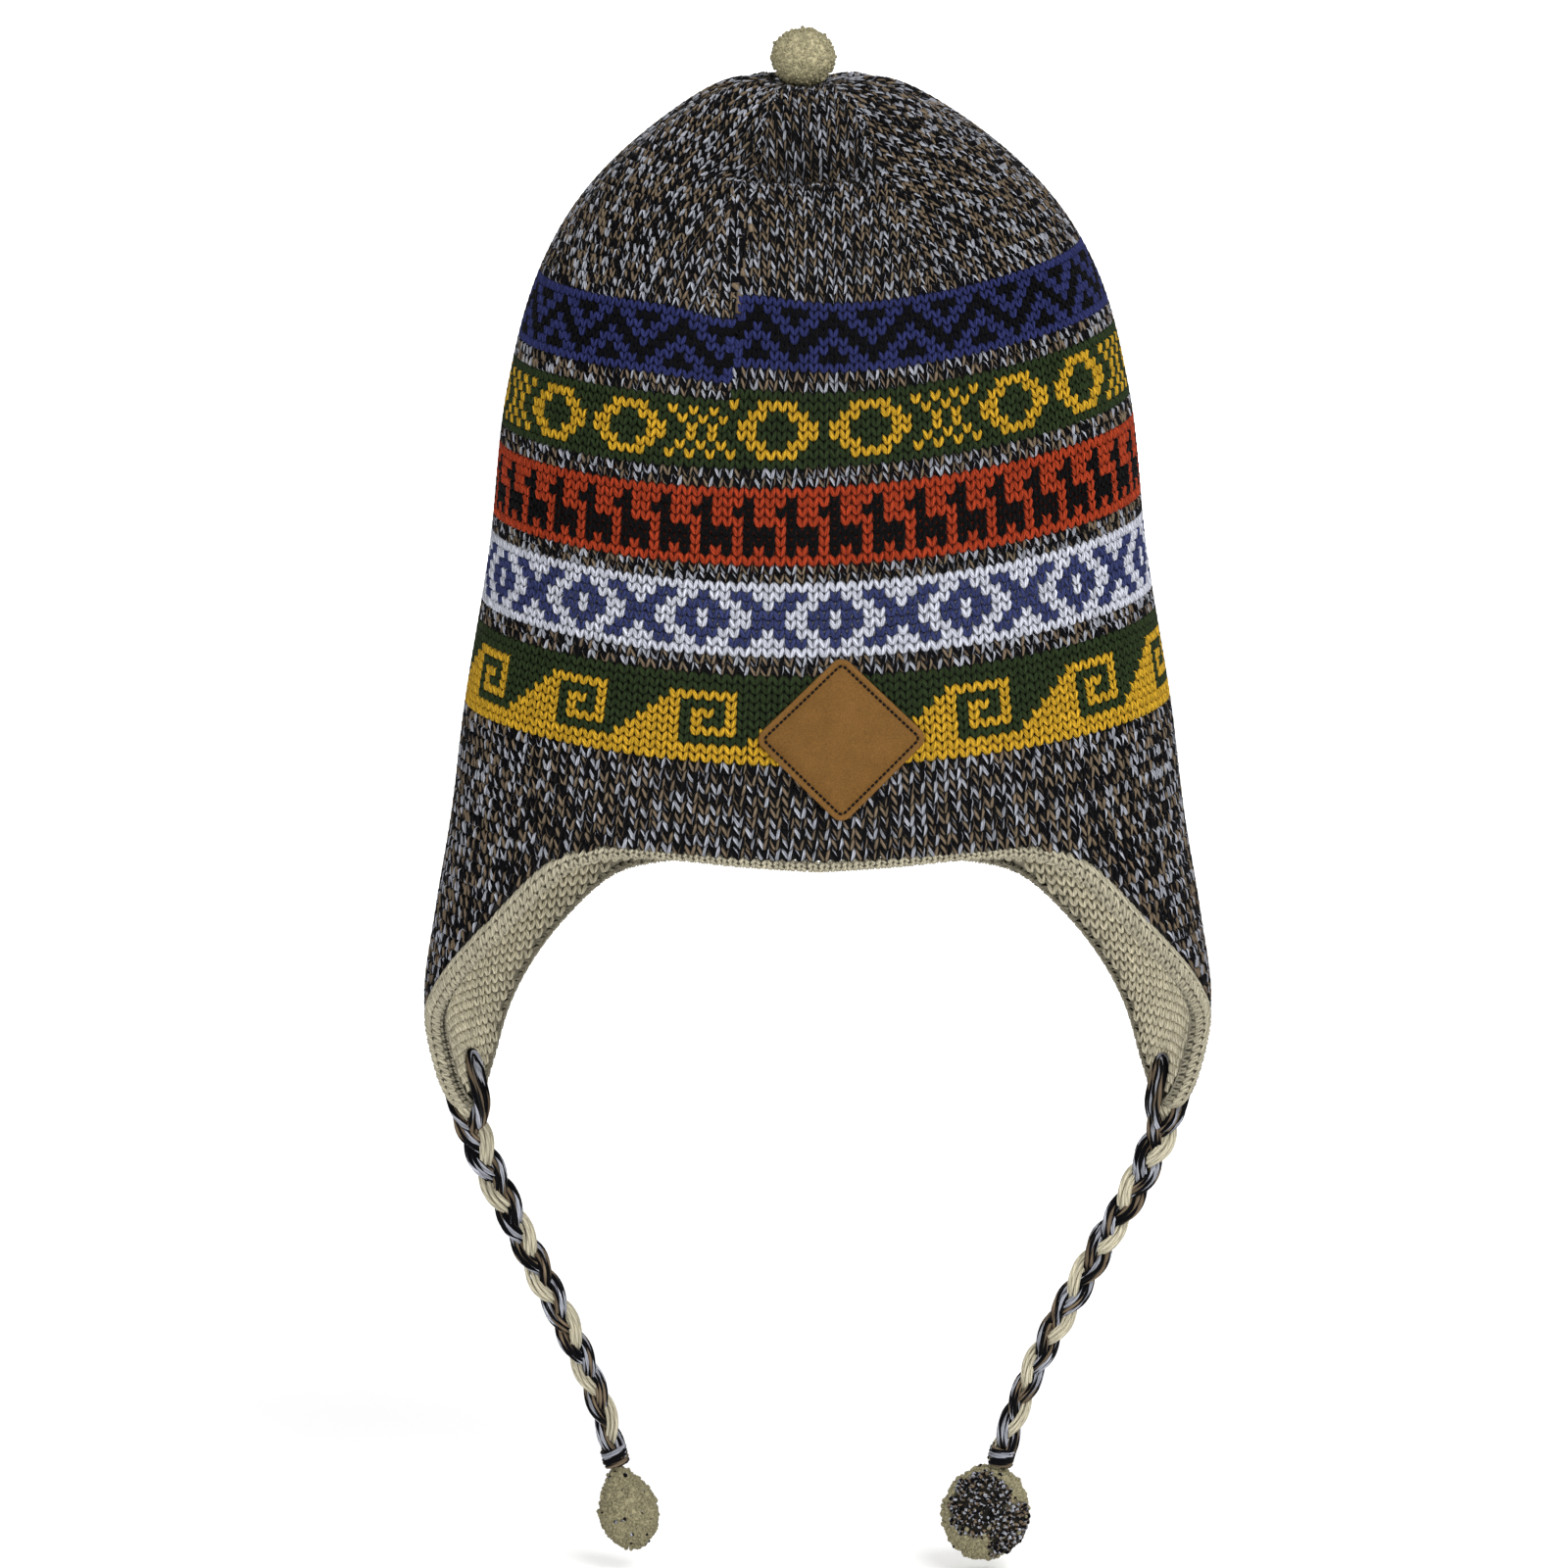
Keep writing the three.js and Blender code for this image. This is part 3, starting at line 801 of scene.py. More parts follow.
def stitch_legs(yarn, place, stitches, stations, half_width, half_thickness, colours, chance):
    """Adds both legs of each stitch. A stitch is a share round, the share one row up, a wale's share, a rise
    and a row's height."""
    share, share_above, wale, rise, row = (stitches[:, column, None] for column in range(5))
    up, sideways, lift = stations.T
    rings = len(stations) - 2
    for side in (-1, 1):
        wobble = 1 + STITCH_WOBBLE * chance.standard_normal((len(stitches), 1))
        shares = share + (share_above - share) * up + side * sideways * wale * wobble
        spines, normals = place(shares, rise + up * row, np.broadcast_to(lift, shares.shape))
        width = half_width * wale_width(place, share, rise, wale) * wobble
        points = spindle_points(
            spines, normals[:, 1:-1], np.repeat(width, rings, axis=1),
            np.full((len(stitches), rings), half_thickness), LEG_SIDES,
        )
        seeds = chance.random(len(stitches))
        lengths = np.broadcast_to(np.linspace(0, 1, rings + 2), (len(stitches), rings + 2))
        yarn.add(points, LEG_SIDES, lengths, seeds, colours)


def knit_piece(name, slot, node, material, place, stitches, stations, gauge, colours, chance):
    """A knitted piece in one mesh. The gauge is the yarn's half width, in wales, and its half thickness."""
    yarn = YarnMesh()
    stitch_legs(yarn, place, stitches, stations, *gauge, colours, chance)
    return dress(yarn.build(name, (material,)), slot, node)


def wale_width(place, share, rise, wale):
    """The width of each stitch, measured on the fabric."""
    flat = np.zeros_like(share)
    left, _ = place(share - wale / 2, rise, flat)
    right, _ = place(share + wale / 2, rise, flat)
    return np.linalg.norm(right - left, axis=-1)


def stitch_rows(shares, rises, row, wales):
    """Stitches of straight rows: every wale in every row."""
    share, rise = np.meshgrid(shares, rises)
    share, rise = share.ravel(), rise.ravel()
    return np.stack((share, share, np.full_like(share, 1 / wales), rise, np.full_like(share, row)), axis=1)


def wale_shares(wales):
    return (np.arange(wales) - wales // 2 + 0.5) / wales


def row_rises(rows, top, bottom):
    """Rises of the middles of rows that fill the wall from a top height down to a bottom one."""
    heights = top + (bottom - top) * (np.arange(rows) + 0.5) / rows
    return rise_at_height(heights)


def section_girth(rise):
    _, half_width, half_depth, _ = np.moveaxis(section_at(rise), -1, 0)
    mean = 3 * (half_width + half_depth)
    return math.pi * (mean - np.sqrt((3 * half_width + half_depth) * (half_width + 3 * half_depth)))


def crown_stitches(first_rise, last_rise, row, stitch_width, wales):
    """Stitches of the crown. Its wedges narrow towards the top, and their outer wales run out."""
    found = []
    most = wales // CROWN_WEDGES
    wale_number = np.arange(most) - (most - 1) / 2

    def wedge_stitches(rise):
        return np.minimum(section_girth(rise) / stitch_width / CROWN_WEDGES, most)

    for rise in np.arange(first_rise + row / 2, last_rise, row):
        count, count_above = wedge_stitches(np.array(rise)), wedge_stitches(np.array(rise + row))
        inside = wale_number[np.abs(wale_number) < count / 2 - WEDGE_EDGE]
        if len(inside) == 0:
            inside = np.zeros(1)
        for wedge in range(CROWN_WEDGES):
            middle = (wedge + 0.5) / CROWN_WEDGES - 0.5
            here = middle + inside / count / CROWN_WEDGES
            higher = middle + np.clip(inside / count_above, -0.5, 0.5) / CROWN_WEDGES
            wale = np.full_like(here, 1 / (count * CROWN_WEDGES))
            found.append(np.stack(np.broadcast_arrays(here, higher, wale, rise, row), axis=1))
    return np.concatenate(found)


def above_rim(stitches, margin, climbs):
    """The stitches that lie above the lower edge, by a share of a row. Rows of the outer knit climb."""
    azimuth = azimuth_at(stitches[:, 0])
    rise = stitches[:, 3]
    if climbs:
        rise = rise + row_climb(azimuth, rise)
    return stitches[rise > rim_rise(azimuth) + margin * stitches[:, 4]]


def fold_painted_shade(stitches):
    """Stitches down in the fold are darkened by painted shade."""
    azimuth = azimuth_at(stitches[:, 0])
    height = section_at(stitches[:, 3] + row_climb(azimuth, stitches[:, 3]))[:, 0]
    return 1 - FOLD_SHADE * fold_share(azimuth, height)


def rim_painted_shade(stitches):
    """The lining is darkened by painted shade where it meets the rolled rim."""
    above = stitches[:, 3] - rim_rise(azimuth_at(stitches[:, 0]))
    return RIM_PAINTED_SHADE + (1 - RIM_PAINTED_SHADE) * smooth_step(above, 0, RIM_PAINTED_SHADE_REACH)


def chart_colours(chart, first_column, wales, ground, settings):
    """The colour of each stitch of a band, row by row from the top."""
    columns = (np.arange(wales) - wales // 2 + first_column) % len(chart[0])
    yarns = {".": ground, **CHART_YARNS}
    rows = [[getattr(settings, yarns[line[column]]) for column in columns] for line in chart]
    return np.array(rows, float).reshape(-1, 3)


def ring_quads(rings, columns):
    """Corners of the quads between closed rings of points."""
    here = np.arange(columns)
    after = (here + 1) % columns
    row = np.arange(rings - 1)[:, None] * columns
    quads = np.stack((row + here, row + after, row + columns + after, row + columns + here), axis=-1)
    return quads.reshape(-1, 4)


def tip_triangles(first, columns, tip):
    """Corners of the triangles from a closed ring of points to a tip."""
    here = np.arange(columns)
    return np.stack((first + here, first + (here + 1) % columns, np.full(columns, tip)), axis=-1)


def wall_shell(place, lift_out, lift_in, columns, rows, top_rise):
    """A closed wall under a knit, from the lower edge to the apex: points, face corners, face sizes and the
    row's rise at each point. Lift out is the lift of the face that looks away from the head."""
    shares = np.arange(columns) / columns - 0.5
    edge = rim_rise(azimuth_at(shares))
    rises = edge + (top_rise - edge) * np.linspace(0, 1, rows)[:, None]
    shares = np.broadcast_to(shares, rises.shape)
    faces = []
    for lift in (lift_out, lift_in):
        grid, _ = place(shares, rises, np.full(rises.shape, lift))
        faces += [grid.reshape(-1, 3), grid[-1].mean(axis=0, keepdims=True)]
    here = np.arange(columns)
    after = (here + 1) % columns
    inner = rows * columns + 1
    quads = ring_quads(rows, columns)
    cap = tip_triangles((rows - 1) * columns, columns, inner - 1)
    hem = np.stack((after, here, inner + here, inner + after), axis=-1)
    groups = (quads, cap, quads[:, ::-1] + inner, cap[:, ::-1] + inner, hem)
    corners = np.concatenate([group.ravel() for group in groups])
    sizes = np.concatenate([np.full(len(group), group.shape[1]) for group in groups])
    row_starts = rises - row_climb(azimuth_at(shares), rises)
    point_rises = np.tile(np.append(row_starts.ravel(), top_rise), 2)
    return np.concatenate(faces), corners, sizes, point_rises


def painted_ground_shade(rises, settings):
    """The painted shade of the ground between stitches: the yarn above it darkened, by the band it lies under.
    """
    marl = (np.array(settings.marl_dark) * 2 + np.array(settings.marl_pale) + np.array(settings.marl_tan)) / 4
    colours = np.tile(marl * MARL_GROUND_SHADE, (len(rises), 1))
    for _, _, _, ground, top, bottom in BANDS:
        inside = (rises < rise_at_height(top)) & (rises > rise_at_height(bottom))
        colours[inside] = np.array(getattr(settings, ground)) * BAND_GROUND_SHADE
    return colours


class RimPath:
    """The middle line of the rolled rim, by share of its length, with its two directions and half sizes."""

    SAMPLES = 2880

    def __init__(self):
        azimuth = np.linspace(-math.pi, math.pi, self.SAMPLES + 1)
        rise = rim_rise(azimuth)
        radius = rim_at(np.abs(azimuth))[:, 1]
        edge = wall_point(azimuth, rise, np.full_like(azimuth, ROLL_DEPTH))
        outward = face_normal(azimuth, rise)
        along = np.gradient(edge, axis=0)
        along[[0, -1]] = edge[1] - edge[-2]
        down = unit(np.cross(unit(along), outward))
        down = down * -np.sign(down[:, 2:])
        centre = edge + down * (radius + ROLL_GAP)[:, None]
        steps = step_lengths(centre)
        self.length = steps.sum()
        self.shares = running_length(steps) / self.length - 0.5
        thickness = np.maximum(radius, ROLL_MIN_THICKNESS)
        slope = -np.gradient(centre[:, 2]) / np.linalg.norm(np.gradient(centre, axis=0), axis=1)
        slope = np.clip(slope / np.abs(down[:, 2]), -ROLL_SLANT, ROLL_SLANT)
        slant = slope * math.pi * (thickness + radius) / self.length
        sizes = np.stack((thickness, radius, slant), axis=1)
        self.table = np.concatenate((centre, outward, down, sizes), axis=1)

    def at(self, share):
        share = (share + 0.5) % 1 - 0.5
        rows = np.stack([np.interp(share, self.shares, column) for column in self.table.T], axis=-1)
        return rows[..., 0:3], unit(rows[..., 3:6]), unit(rows[..., 6:9]), *np.moveaxis(rows[..., 9:], -1, 0)

    def place(self, share, turn, lift):
        """A point of the roll: a turn of 0 looks out of the hat, and a quarter turn looks down. Wales go on
        straight down over the roll, so they lie aslant where the rim slopes."""
        slant = self.at(share)[-1]
        centre, outward, down, thickness, radius, _ = self.at(share + slant * ((turn + 0.5) % 1 - 0.5))
        cosine, sine = np.cos(FULL_TURN * turn), np.sin(FULL_TURN * turn)
        across, drop = (thickness + lift)[..., None], (radius + lift)[..., None]
        point = centre + outward * across * cosine[..., None] + down * drop * sine[..., None]
        normal = unit(outward * drop * cosine[..., None] + down * across * sine[..., None])
        return point, normal


class NodeTree:
    """Adds nodes to a tree, with each input set or linked."""

    def __init__(self, tree):
        self.tree = tree
        self.tree.nodes.clear()

    def add(self, kind, inputs=None, **settings):
        node = self.tree.nodes.new(kind)
        for name, value in settings.items():
            setattr(node, name, value)
        for key, value in (inputs or {}).items():
            if isinstance(value, bpy.types.NodeSocket):
                self.tree.links.new(value, node.inputs[key])
            else:
                node.inputs[key].default_value = value
        return node

    def math(self, operation, *values):
        return self.add("ShaderNodeMath", dict(enumerate(values)), operation=operation).outputs[0]

    def mix(self, factor, first, second, blend="MIX"):
        node = self.add("ShaderNodeMix", {0: factor, 6: first, 7: second}, data_type="RGBA", blend_type=blend)
        return node.outputs[2]

    def tone(self, colour, amount):
        """A colour times a value."""
        grey = self.add("ShaderNodeCombineColor", {0: amount, 1: amount, 2: amount}).outputs[0]
        return self.mix(1.0, colour, grey, "MULTIPLY")

    def scaled(self, values, scales):
        """A vector of three values, each times its own scale."""
        products = [self.math("MULTIPLY", value, scale) for value, scale in zip(values, scales)]
        return self.add("ShaderNodeCombineXYZ", dict(enumerate(products))).outputs[0]

    def spread(self, value, low, high, new_low, new_high):
        node = self.add("ShaderNodeMapRange", {0: value, 1: low, 2: high, 3: new_low, 4: new_high})
        return node.outputs[0]


def new_group(name, inputs, outputs):
    """A shader node group with named sockets, its builder, and its two end nodes."""
    group = bpy.data.node_groups.new(name, "ShaderNodeTree")
    for socket, kind in inputs:
        group.interface.new_socket(socket, in_out="INPUT", socket_type=kind)
    for socket, kind in outputs:
        group.interface.new_socket(socket, in_out="OUTPUT", socket_type=kind)
    tree = NodeTree(group)
    return group, tree, tree.add("NodeGroupInput"), tree.add("NodeGroupOutput")


def plied_yarn_group():
    """Four twisted plies, each with its own colour, painted shade in the groove between plies, and fibres
    along it.
    """
    name = "Plied yarn"
    if name in bpy.data.node_groups:
        return bpy.data.node_groups[name]
    plies = ("First Ply", "Second Ply", "Third Ply", "Fourth Ply")
    inputs = [(ply, "NodeSocketColor") for ply in plies]
    inputs += [(word, "NodeSocketFloat") for word in ("Repeat", "Twist", "Groove Shade", "Fibre", "Fade")]
    outputs = [("Colour", "NodeSocketColor"), ("Height", "NodeSocketFloat")]
    group, tree, start, end = new_group(name, inputs, outputs)
    ply = tree.add("ShaderNodeAttribute", attribute_name="ply")
    parts = tree.add("ShaderNodeSeparateXYZ", {0: ply.outputs["Vector"]})
    twisted = tree.math("MULTIPLY_ADD", parts.outputs[1], start.outputs["Twist"], parts.outputs[0])
    repeated = tree.math("MULTIPLY_ADD", twisted, start.outputs["Repeat"], parts.outputs[2])
    turn = tree.math("MULTIPLY", tree.math("FRACT", repeated), 4.0)
    colour = start.outputs[plies[0]]
    for edge, socket in zip(PLY_EDGES, plies[1:]):
        colour = tree.mix(tree.math("GREATER_THAN", turn, edge), colour, start.outputs[socket])
    streak = tree.scaled((parts.outputs[1], parts.outputs[2], parts.outputs[0]), PATCHY_SCALE)
    patchy = tree.add("ShaderNodeTexNoise", {"Vector": streak, "Scale": 1.0, "Detail": 1.0})
    faded = tree.spread(patchy.outputs[0], *PATCHY_SPAN, 0.0, 1.0)
    faded = tree.math("MULTIPLY", faded, start.outputs["Fade"])
    colour = tree.mix(faded, colour, start.outputs[plies[0]])
    inside = tree.math("FRACT", turn)
    ridge = tree.math("MULTIPLY", tree.math("MULTIPLY", inside, tree.math("SUBTRACT", 1.0, inside)), 4.0)
    strands = tree.scaled((twisted, parts.outputs[1], parts.outputs[2]), FIBRE_SCALE)
    fibre = tree.add("ShaderNodeTexNoise", {"Vector": strands, "Scale": 1.0, "Detail": 2.0})
    soft = tree.spread(fibre.outputs[0], *NOISE_SPAN, 0.0, 1.0)
    # Painted shade darkens each ply towards the grooves between plies.
    low = tree.math("SUBTRACT", 1.0, start.outputs["Groove Shade"])
    shade = tree.math("MULTIPLY_ADD", ridge, start.outputs["Groove Shade"], low)
    low = tree.math("SUBTRACT", 1.0, start.outputs["Fibre"])
    fuzz = tree.math("MULTIPLY_ADD", soft, start.outputs["Fibre"], low)
    tree.tree.links.new(tree.tone(colour, tree.math("MULTIPLY", shade, fuzz)), end.inputs["Colour"])
    tree.tree.links.new(tree.math("MULTIPLY_ADD", soft, FIBRE_HEIGHT, ridge), end.inputs["Height"])
    return group


def new_material(name, roughness, sheen):
    """A material with a Principled shader, and its tree. The material is made once."""
    material = bpy.data.materials.new(name)
    material.use_nodes = True
    tree = NodeTree(material.node_tree)
    shader = tree.add("ShaderNodeBsdfPrincipled", {
        "Roughness": roughness, "Sheen Weight": sheen, "Sheen Roughness": SHEEN_ROUGHNESS,
        "Specular IOR Level": SPECULAR_LEVEL,
    })
    tree.add("ShaderNodeOutputMaterial", {"Surface": shader.outputs[0]})
    return material, tree, shader


def bump_into(tree, shader, height, strength, distance):
    bump = tree.add("ShaderNodeBump", {"Height": height, "Strength": strength, "Distance": distance})
    tree.tree.links.new(bump.outputs[0], shader.inputs["Normal"])


def yarn_material(name, plies, repeat=1.0, twist=0.45, groove=0.5, fibre=0.35, fade=0.2, tinted=False):
    """A wool yarn. A ply is a colour, or a shade of the colour that each piece of yarn carries. That colour
    also tints a yarn whose plies have their own."""
    if name in bpy.data.materials:
        return bpy.data.materials[name]
    material, tree, shader = new_material(name, YARN_ROUGHNESS, YARN_SHEEN)
    carried = tree.add("ShaderNodeAttribute", attribute_name="yarn_colour").outputs["Color"]
    group = tree.add("ShaderNodeGroup", node_tree=plied_yarn_group())
    for number, ply in enumerate(plies):
        if isinstance(ply, float):
            tree.tree.links.new(tree.tone(carried, ply), group.inputs[number])
        else:
            group.inputs[number].default_value = (*ply, 1)
    group.inputs["Repeat"].default_value = repeat
    group.inputs["Twist"].default_value = twist
    group.inputs["Groove Shade"].default_value = groove
    group.inputs["Fibre"].default_value = fibre
    group.inputs["Fade"].default_value = fade
    colour = group.outputs["Colour"]
    if tinted:
        colour = tree.mix(1.0, colour, carried, "MULTIPLY")
    tree.tree.links.new(colour, shader.inputs["Base Color"])
    bump_into(tree, shader, group.outputs["Height"], *YARN_BUMP)
    return material


def marl_material(settings):
    dark, pale, tan = settings.marl_dark, settings.marl_pale, settings.marl_tan
    return yarn_material("marl_yarn", (dark, pale, dark, tan), repeat=0.75, fibre=0.5, fade=0.35, tinted=True)


def charted_material():
    return yarn_material("charted_yarn", (1.0, 0.74, 0.92, 0.66), groove=0.5, fibre=0.45)


def carried_material():
    return yarn_material("plain_yarn", (1.0, 0.86, 0.95, 0.8), groove=0.45)


def ground_material():
    name = "knit_ground"
    if name in bpy.data.materials:
        return bpy.data.materials[name]
    material, tree, shader = new_material(name, 0.95, 0.0)
    carried = tree.add("ShaderNodeAttribute", attribute_name="yarn_colour").outputs["Color"]
    place = tree.add("ShaderNodeNewGeometry").outputs["Position"]
    fuzz = tree.add("ShaderNodeTexNoise", {"Vector": place, "Scale": GROUND_SCALE, "Detail": 3.0})
    shade = tree.spread(fuzz.outputs[0], *NOISE_SPAN, 0.6, 1.2)
    tree.tree.links.new(tree.tone(carried, shade), shader.inputs["Base Color"])
    bump_into(tree, shader, fuzz.outputs[0], *GROUND_BUMP)
    return material


def leather_material():
    name = "patch_leather"
    if name in bpy.data.materials:
        return bpy.data.materials[name]
    material, tree, shader = new_material(name, 0.6, 0.0)
    carried = tree.add("ShaderNodeAttribute", attribute_name="yarn_colour").outputs["Color"]
    place = tree.add("ShaderNodeNewGeometry").outputs["Position"]
    pores = {"Vector": place, "Scale": PORE_SCALE}
    pores = tree.add("ShaderNodeTexVoronoi", pores, feature="DISTANCE_TO_EDGE")
    pore = tree.spread(pores.outputs["Distance"], 0.0, 0.12, 0.0, 1.0)
    blotch = tree.add("ShaderNodeTexNoise", {"Vector": place, "Scale": BLOTCH_SCALE, "Detail": 4.0})
    nap = tree.add("ShaderNodeTexNoise", {"Vector": place, "Scale": NAP_SCALE, "Detail": 2.0})
    shade = tree.spread(blotch.outputs[0], *NOISE_SPAN, 0.92, 1.07)
    shade = tree.math("MULTIPLY", shade, tree.spread(pore, 0, 1, 0.86, 1.02))
    shade = tree.math("MULTIPLY", shade, tree.spread(nap.outputs[0], *NOISE_SPAN, 0.8, 1.18))
    tree.tree.links.new(tree.tone(carried, shade), shader.inputs["Base Color"])
    tree.tree.links.new(tree.spread(blotch.outputs[0], *NOISE_SPAN, 0.7, 0.5), shader.inputs["Roughness"])
    height = tree.math("ADD", pore, tree.math("MULTIPLY", nap.outputs[0], 0.6))
    bump_into(tree, shader, height, *LEATHER_BUMP)
    return material


def floor_material():
    name = "studio_floor"
    if name in bpy.data.materials:
        return bpy.data.materials[name]
    material, tree, shader = new_material(name, 0.8, 0.0)
    place = tree.add("ShaderNodeNewGeometry").outputs["Position"]
    cloud = tree.add("ShaderNodeTexNoise", {"Vector": place, "Scale": FLOOR_SCALE, "Detail": 2.0})
    shade = tree.spread(cloud.outputs[0], *NOISE_SPAN, 0.90, 0.93)
    colour = tree.add("ShaderNodeCombineColor", {0: shade, 1: shade, 2: shade}).outputs[0]
    tree.tree.links.new(colour, shader.inputs["Base Color"])
    return material


def long_yarns(yarn, spines, radii, sides, seeds, colours, twist_length, slot=0):
    """Adds yarns along spines of (yarns, stations, 3), closed at both ends."""
    steps = np.linalg.norm(np.diff(spines, axis=1), axis=2)
    lengths = np.concatenate((np.zeros((len(spines), 1)), np.cumsum(steps, axis=1)), axis=1) / twist_length
    along = unit(spines[:, 2:] - spines[:, :-2])
    guide = np.broadcast_to(YARN_GUIDE, along.shape)
    points = spindle_points(spines, guide, radii, radii, sides)
    yarn.add(points, sides, lengths, seeds, colours, slot)


def polyline_at(points, distances):
    """Points on a smooth route, by distance along it, with their tangents."""
    places = running_length(step_lengths(points))
    curve = smooth_curve(places, points)
    step = places[-1] * 1e-3
    ahead = np.clip(distances + step, 0, places[-1])
    behind = np.clip(distances - step, 0, places[-1])
    return curve(distances), unit(curve(ahead) - curve(behind))


def tie_route(sign, swing):
    """The points that a tie follows, from just under its flap's tip."""
    azimuth = np.array(sign * FLAP_TIP_AZIMUTH)
    tip = wall_point(azimuth, rim_rise(azimuth), np.array(FULL_WALL / 2))
    roll = 2 * rim_at(np.array(FLAP_TIP_AZIMUTH))[1]
    top = tip - np.array((0, 0, roll + ROLL_GAP + TIP_GAP))
    drop, inwards = TIE_ROUTE.T
    return np.stack((top[0] - sign * swing * inwards, np.full_like(drop, top[1]), top[2] - drop), axis=1)


def braid_yarns(yarn, route, ties, yarns, chance):
    """Three strands, two of marl and one of cream, that cross over each other down the route."""
    route = np.concatenate((route[:1] + np.array((0, 0, BRAID_ROOT)), route))
    total = step_lengths(route).sum()
    distance = np.linspace(0, total, BRAID_STATIONS)
    middle, along = polyline_at(route, distance)
    depth = np.array((0.0, 1.0, 0.0))
    side = unit(np.cross(depth, along))
    taper = 1 - BRAID_TAPER * distance / total
    cream = np.array(yarns.cream)
    for strand in range(3):
        phase = FULL_TURN * (distance / ties.braid_repeat + strand / 3)
        spine = middle + side * (BRAID_SWAY * taper * np.sin(phase))[:, None]
        spine = spine + depth * (BRAID_WEAVE * np.sin(2 * phase))[:, None]
        offsets = [np.zeros_like(spine)]
        for number in range(ties.strand_yarns):
            turn = FULL_TURN * (number / ties.strand_yarns + distance / STRAND_LAY) + strand
            spread = STRAND_SPREAD * (1 + SPREAD_SWAY * chance.standard_normal())
            across = side * (taper * spread * np.cos(turn))[:, None]
            offsets.append(across + depth * (STRAND_FLATNESS * spread * np.sin(turn))[:, None])
        spines = spine + np.array(offsets)
        count = len(spines)
        radii = np.full((count, BRAID_STATIONS - 2), ties.yarn_radius) * taper[1:-1]
        radii = radii * (1 + YARN_SWAY * chance.standard_normal((count, 1)))
        tones = 1 + YARN_SWAY * chance.standard_normal((count, 1))
        slot = 1 if strand == CREAM_STRAND else 0
        colours = (cream if strand == CREAM_STRAND else np.ones(3)) * tones
        long_yarns(yarn, spines, radii, TIE_SIDES, chance.random(count), colours, TIE_TWIST, slot)


def loop_yarns(yarn, sign, ties, chance):
    """Marl yarns that hold a braid in its flap: nested arches, up each face from the braid and down again."""
    azimuth = sign * FLAP_TIP_AZIMUTH
    edge = rim_rise(np.array(azimuth))
    _, half_width, half_depth, _ = section_at(edge)
    radius = math.hypot(half_width * math.cos(azimuth), half_depth * math.sin(azimuth))
    places = np.linspace(0, 1, len(LOOP_STATIONS))
    for inner in (True, False):
        for half, height in LOOP_ARCHES:
            across, up, share, depth = LOOP_STATIONS.T
            tall = height * (1 + LOOP_SWAY * chance.standard_normal())
            reach = FULL_WALL / 2 + depth * (1 if inner else -1)
            spine = wall_point(azimuth + across * half / radius, edge + up + share * tall, reach)
            spine = smooth_curve(places, spine)(np.linspace(0, 1, LOOP_POINTS))[None]
            radii = np.full((1, LOOP_POINTS - 2), ties.yarn_radius)
            long_yarns(yarn, spine, radii, TIE_SIDES, chance.random(1), np.ones((1, 3)), TIE_TWIST)


def wrap_yarns(yarn, route, ties, chance):
    """A few tight turns round the end of a braid, where its pompom is tied on."""
    total = step_lengths(route).sum()
    turns = np.linspace(0, WRAP_TURNS, WRAP_TURNS * WRAP_TURN_POINTS)
    distance = total - WRAP_LENGTH * (1 - turns / WRAP_TURNS) - WRAP_END
    middle, along = polyline_at(route, distance)
    depth = np.array((0.0, 1.0, 0.0))
    side = unit(np.cross(depth, along))
    angle = FULL_TURN * turns
    across, deep = WRAP_RADIUS * np.cos(angle), WRAP_RADIUS * np.sin(angle)
    spine = middle + side * across[:, None] + depth * deep[:, None]
    radii = np.full((1, len(spine) - 2), ties.yarn_radius * WRAP_THINNESS)
    long_yarns(yarn, spine[None], radii, TIE_SIDES, chance.random(1), np.ones((1, 3)), TIE_TWIST)


def pompom_reach(way, axis, size):
    """From a pompom's middle to its surface, each way. It narrows towards its foot."""
    radius, half_height, taper = size
    level = (way @ axis)[:, None]
    return (way - axis * level) * radius * (1 - taper * np.clip(-level, 0, 1)) + axis * level * half_height


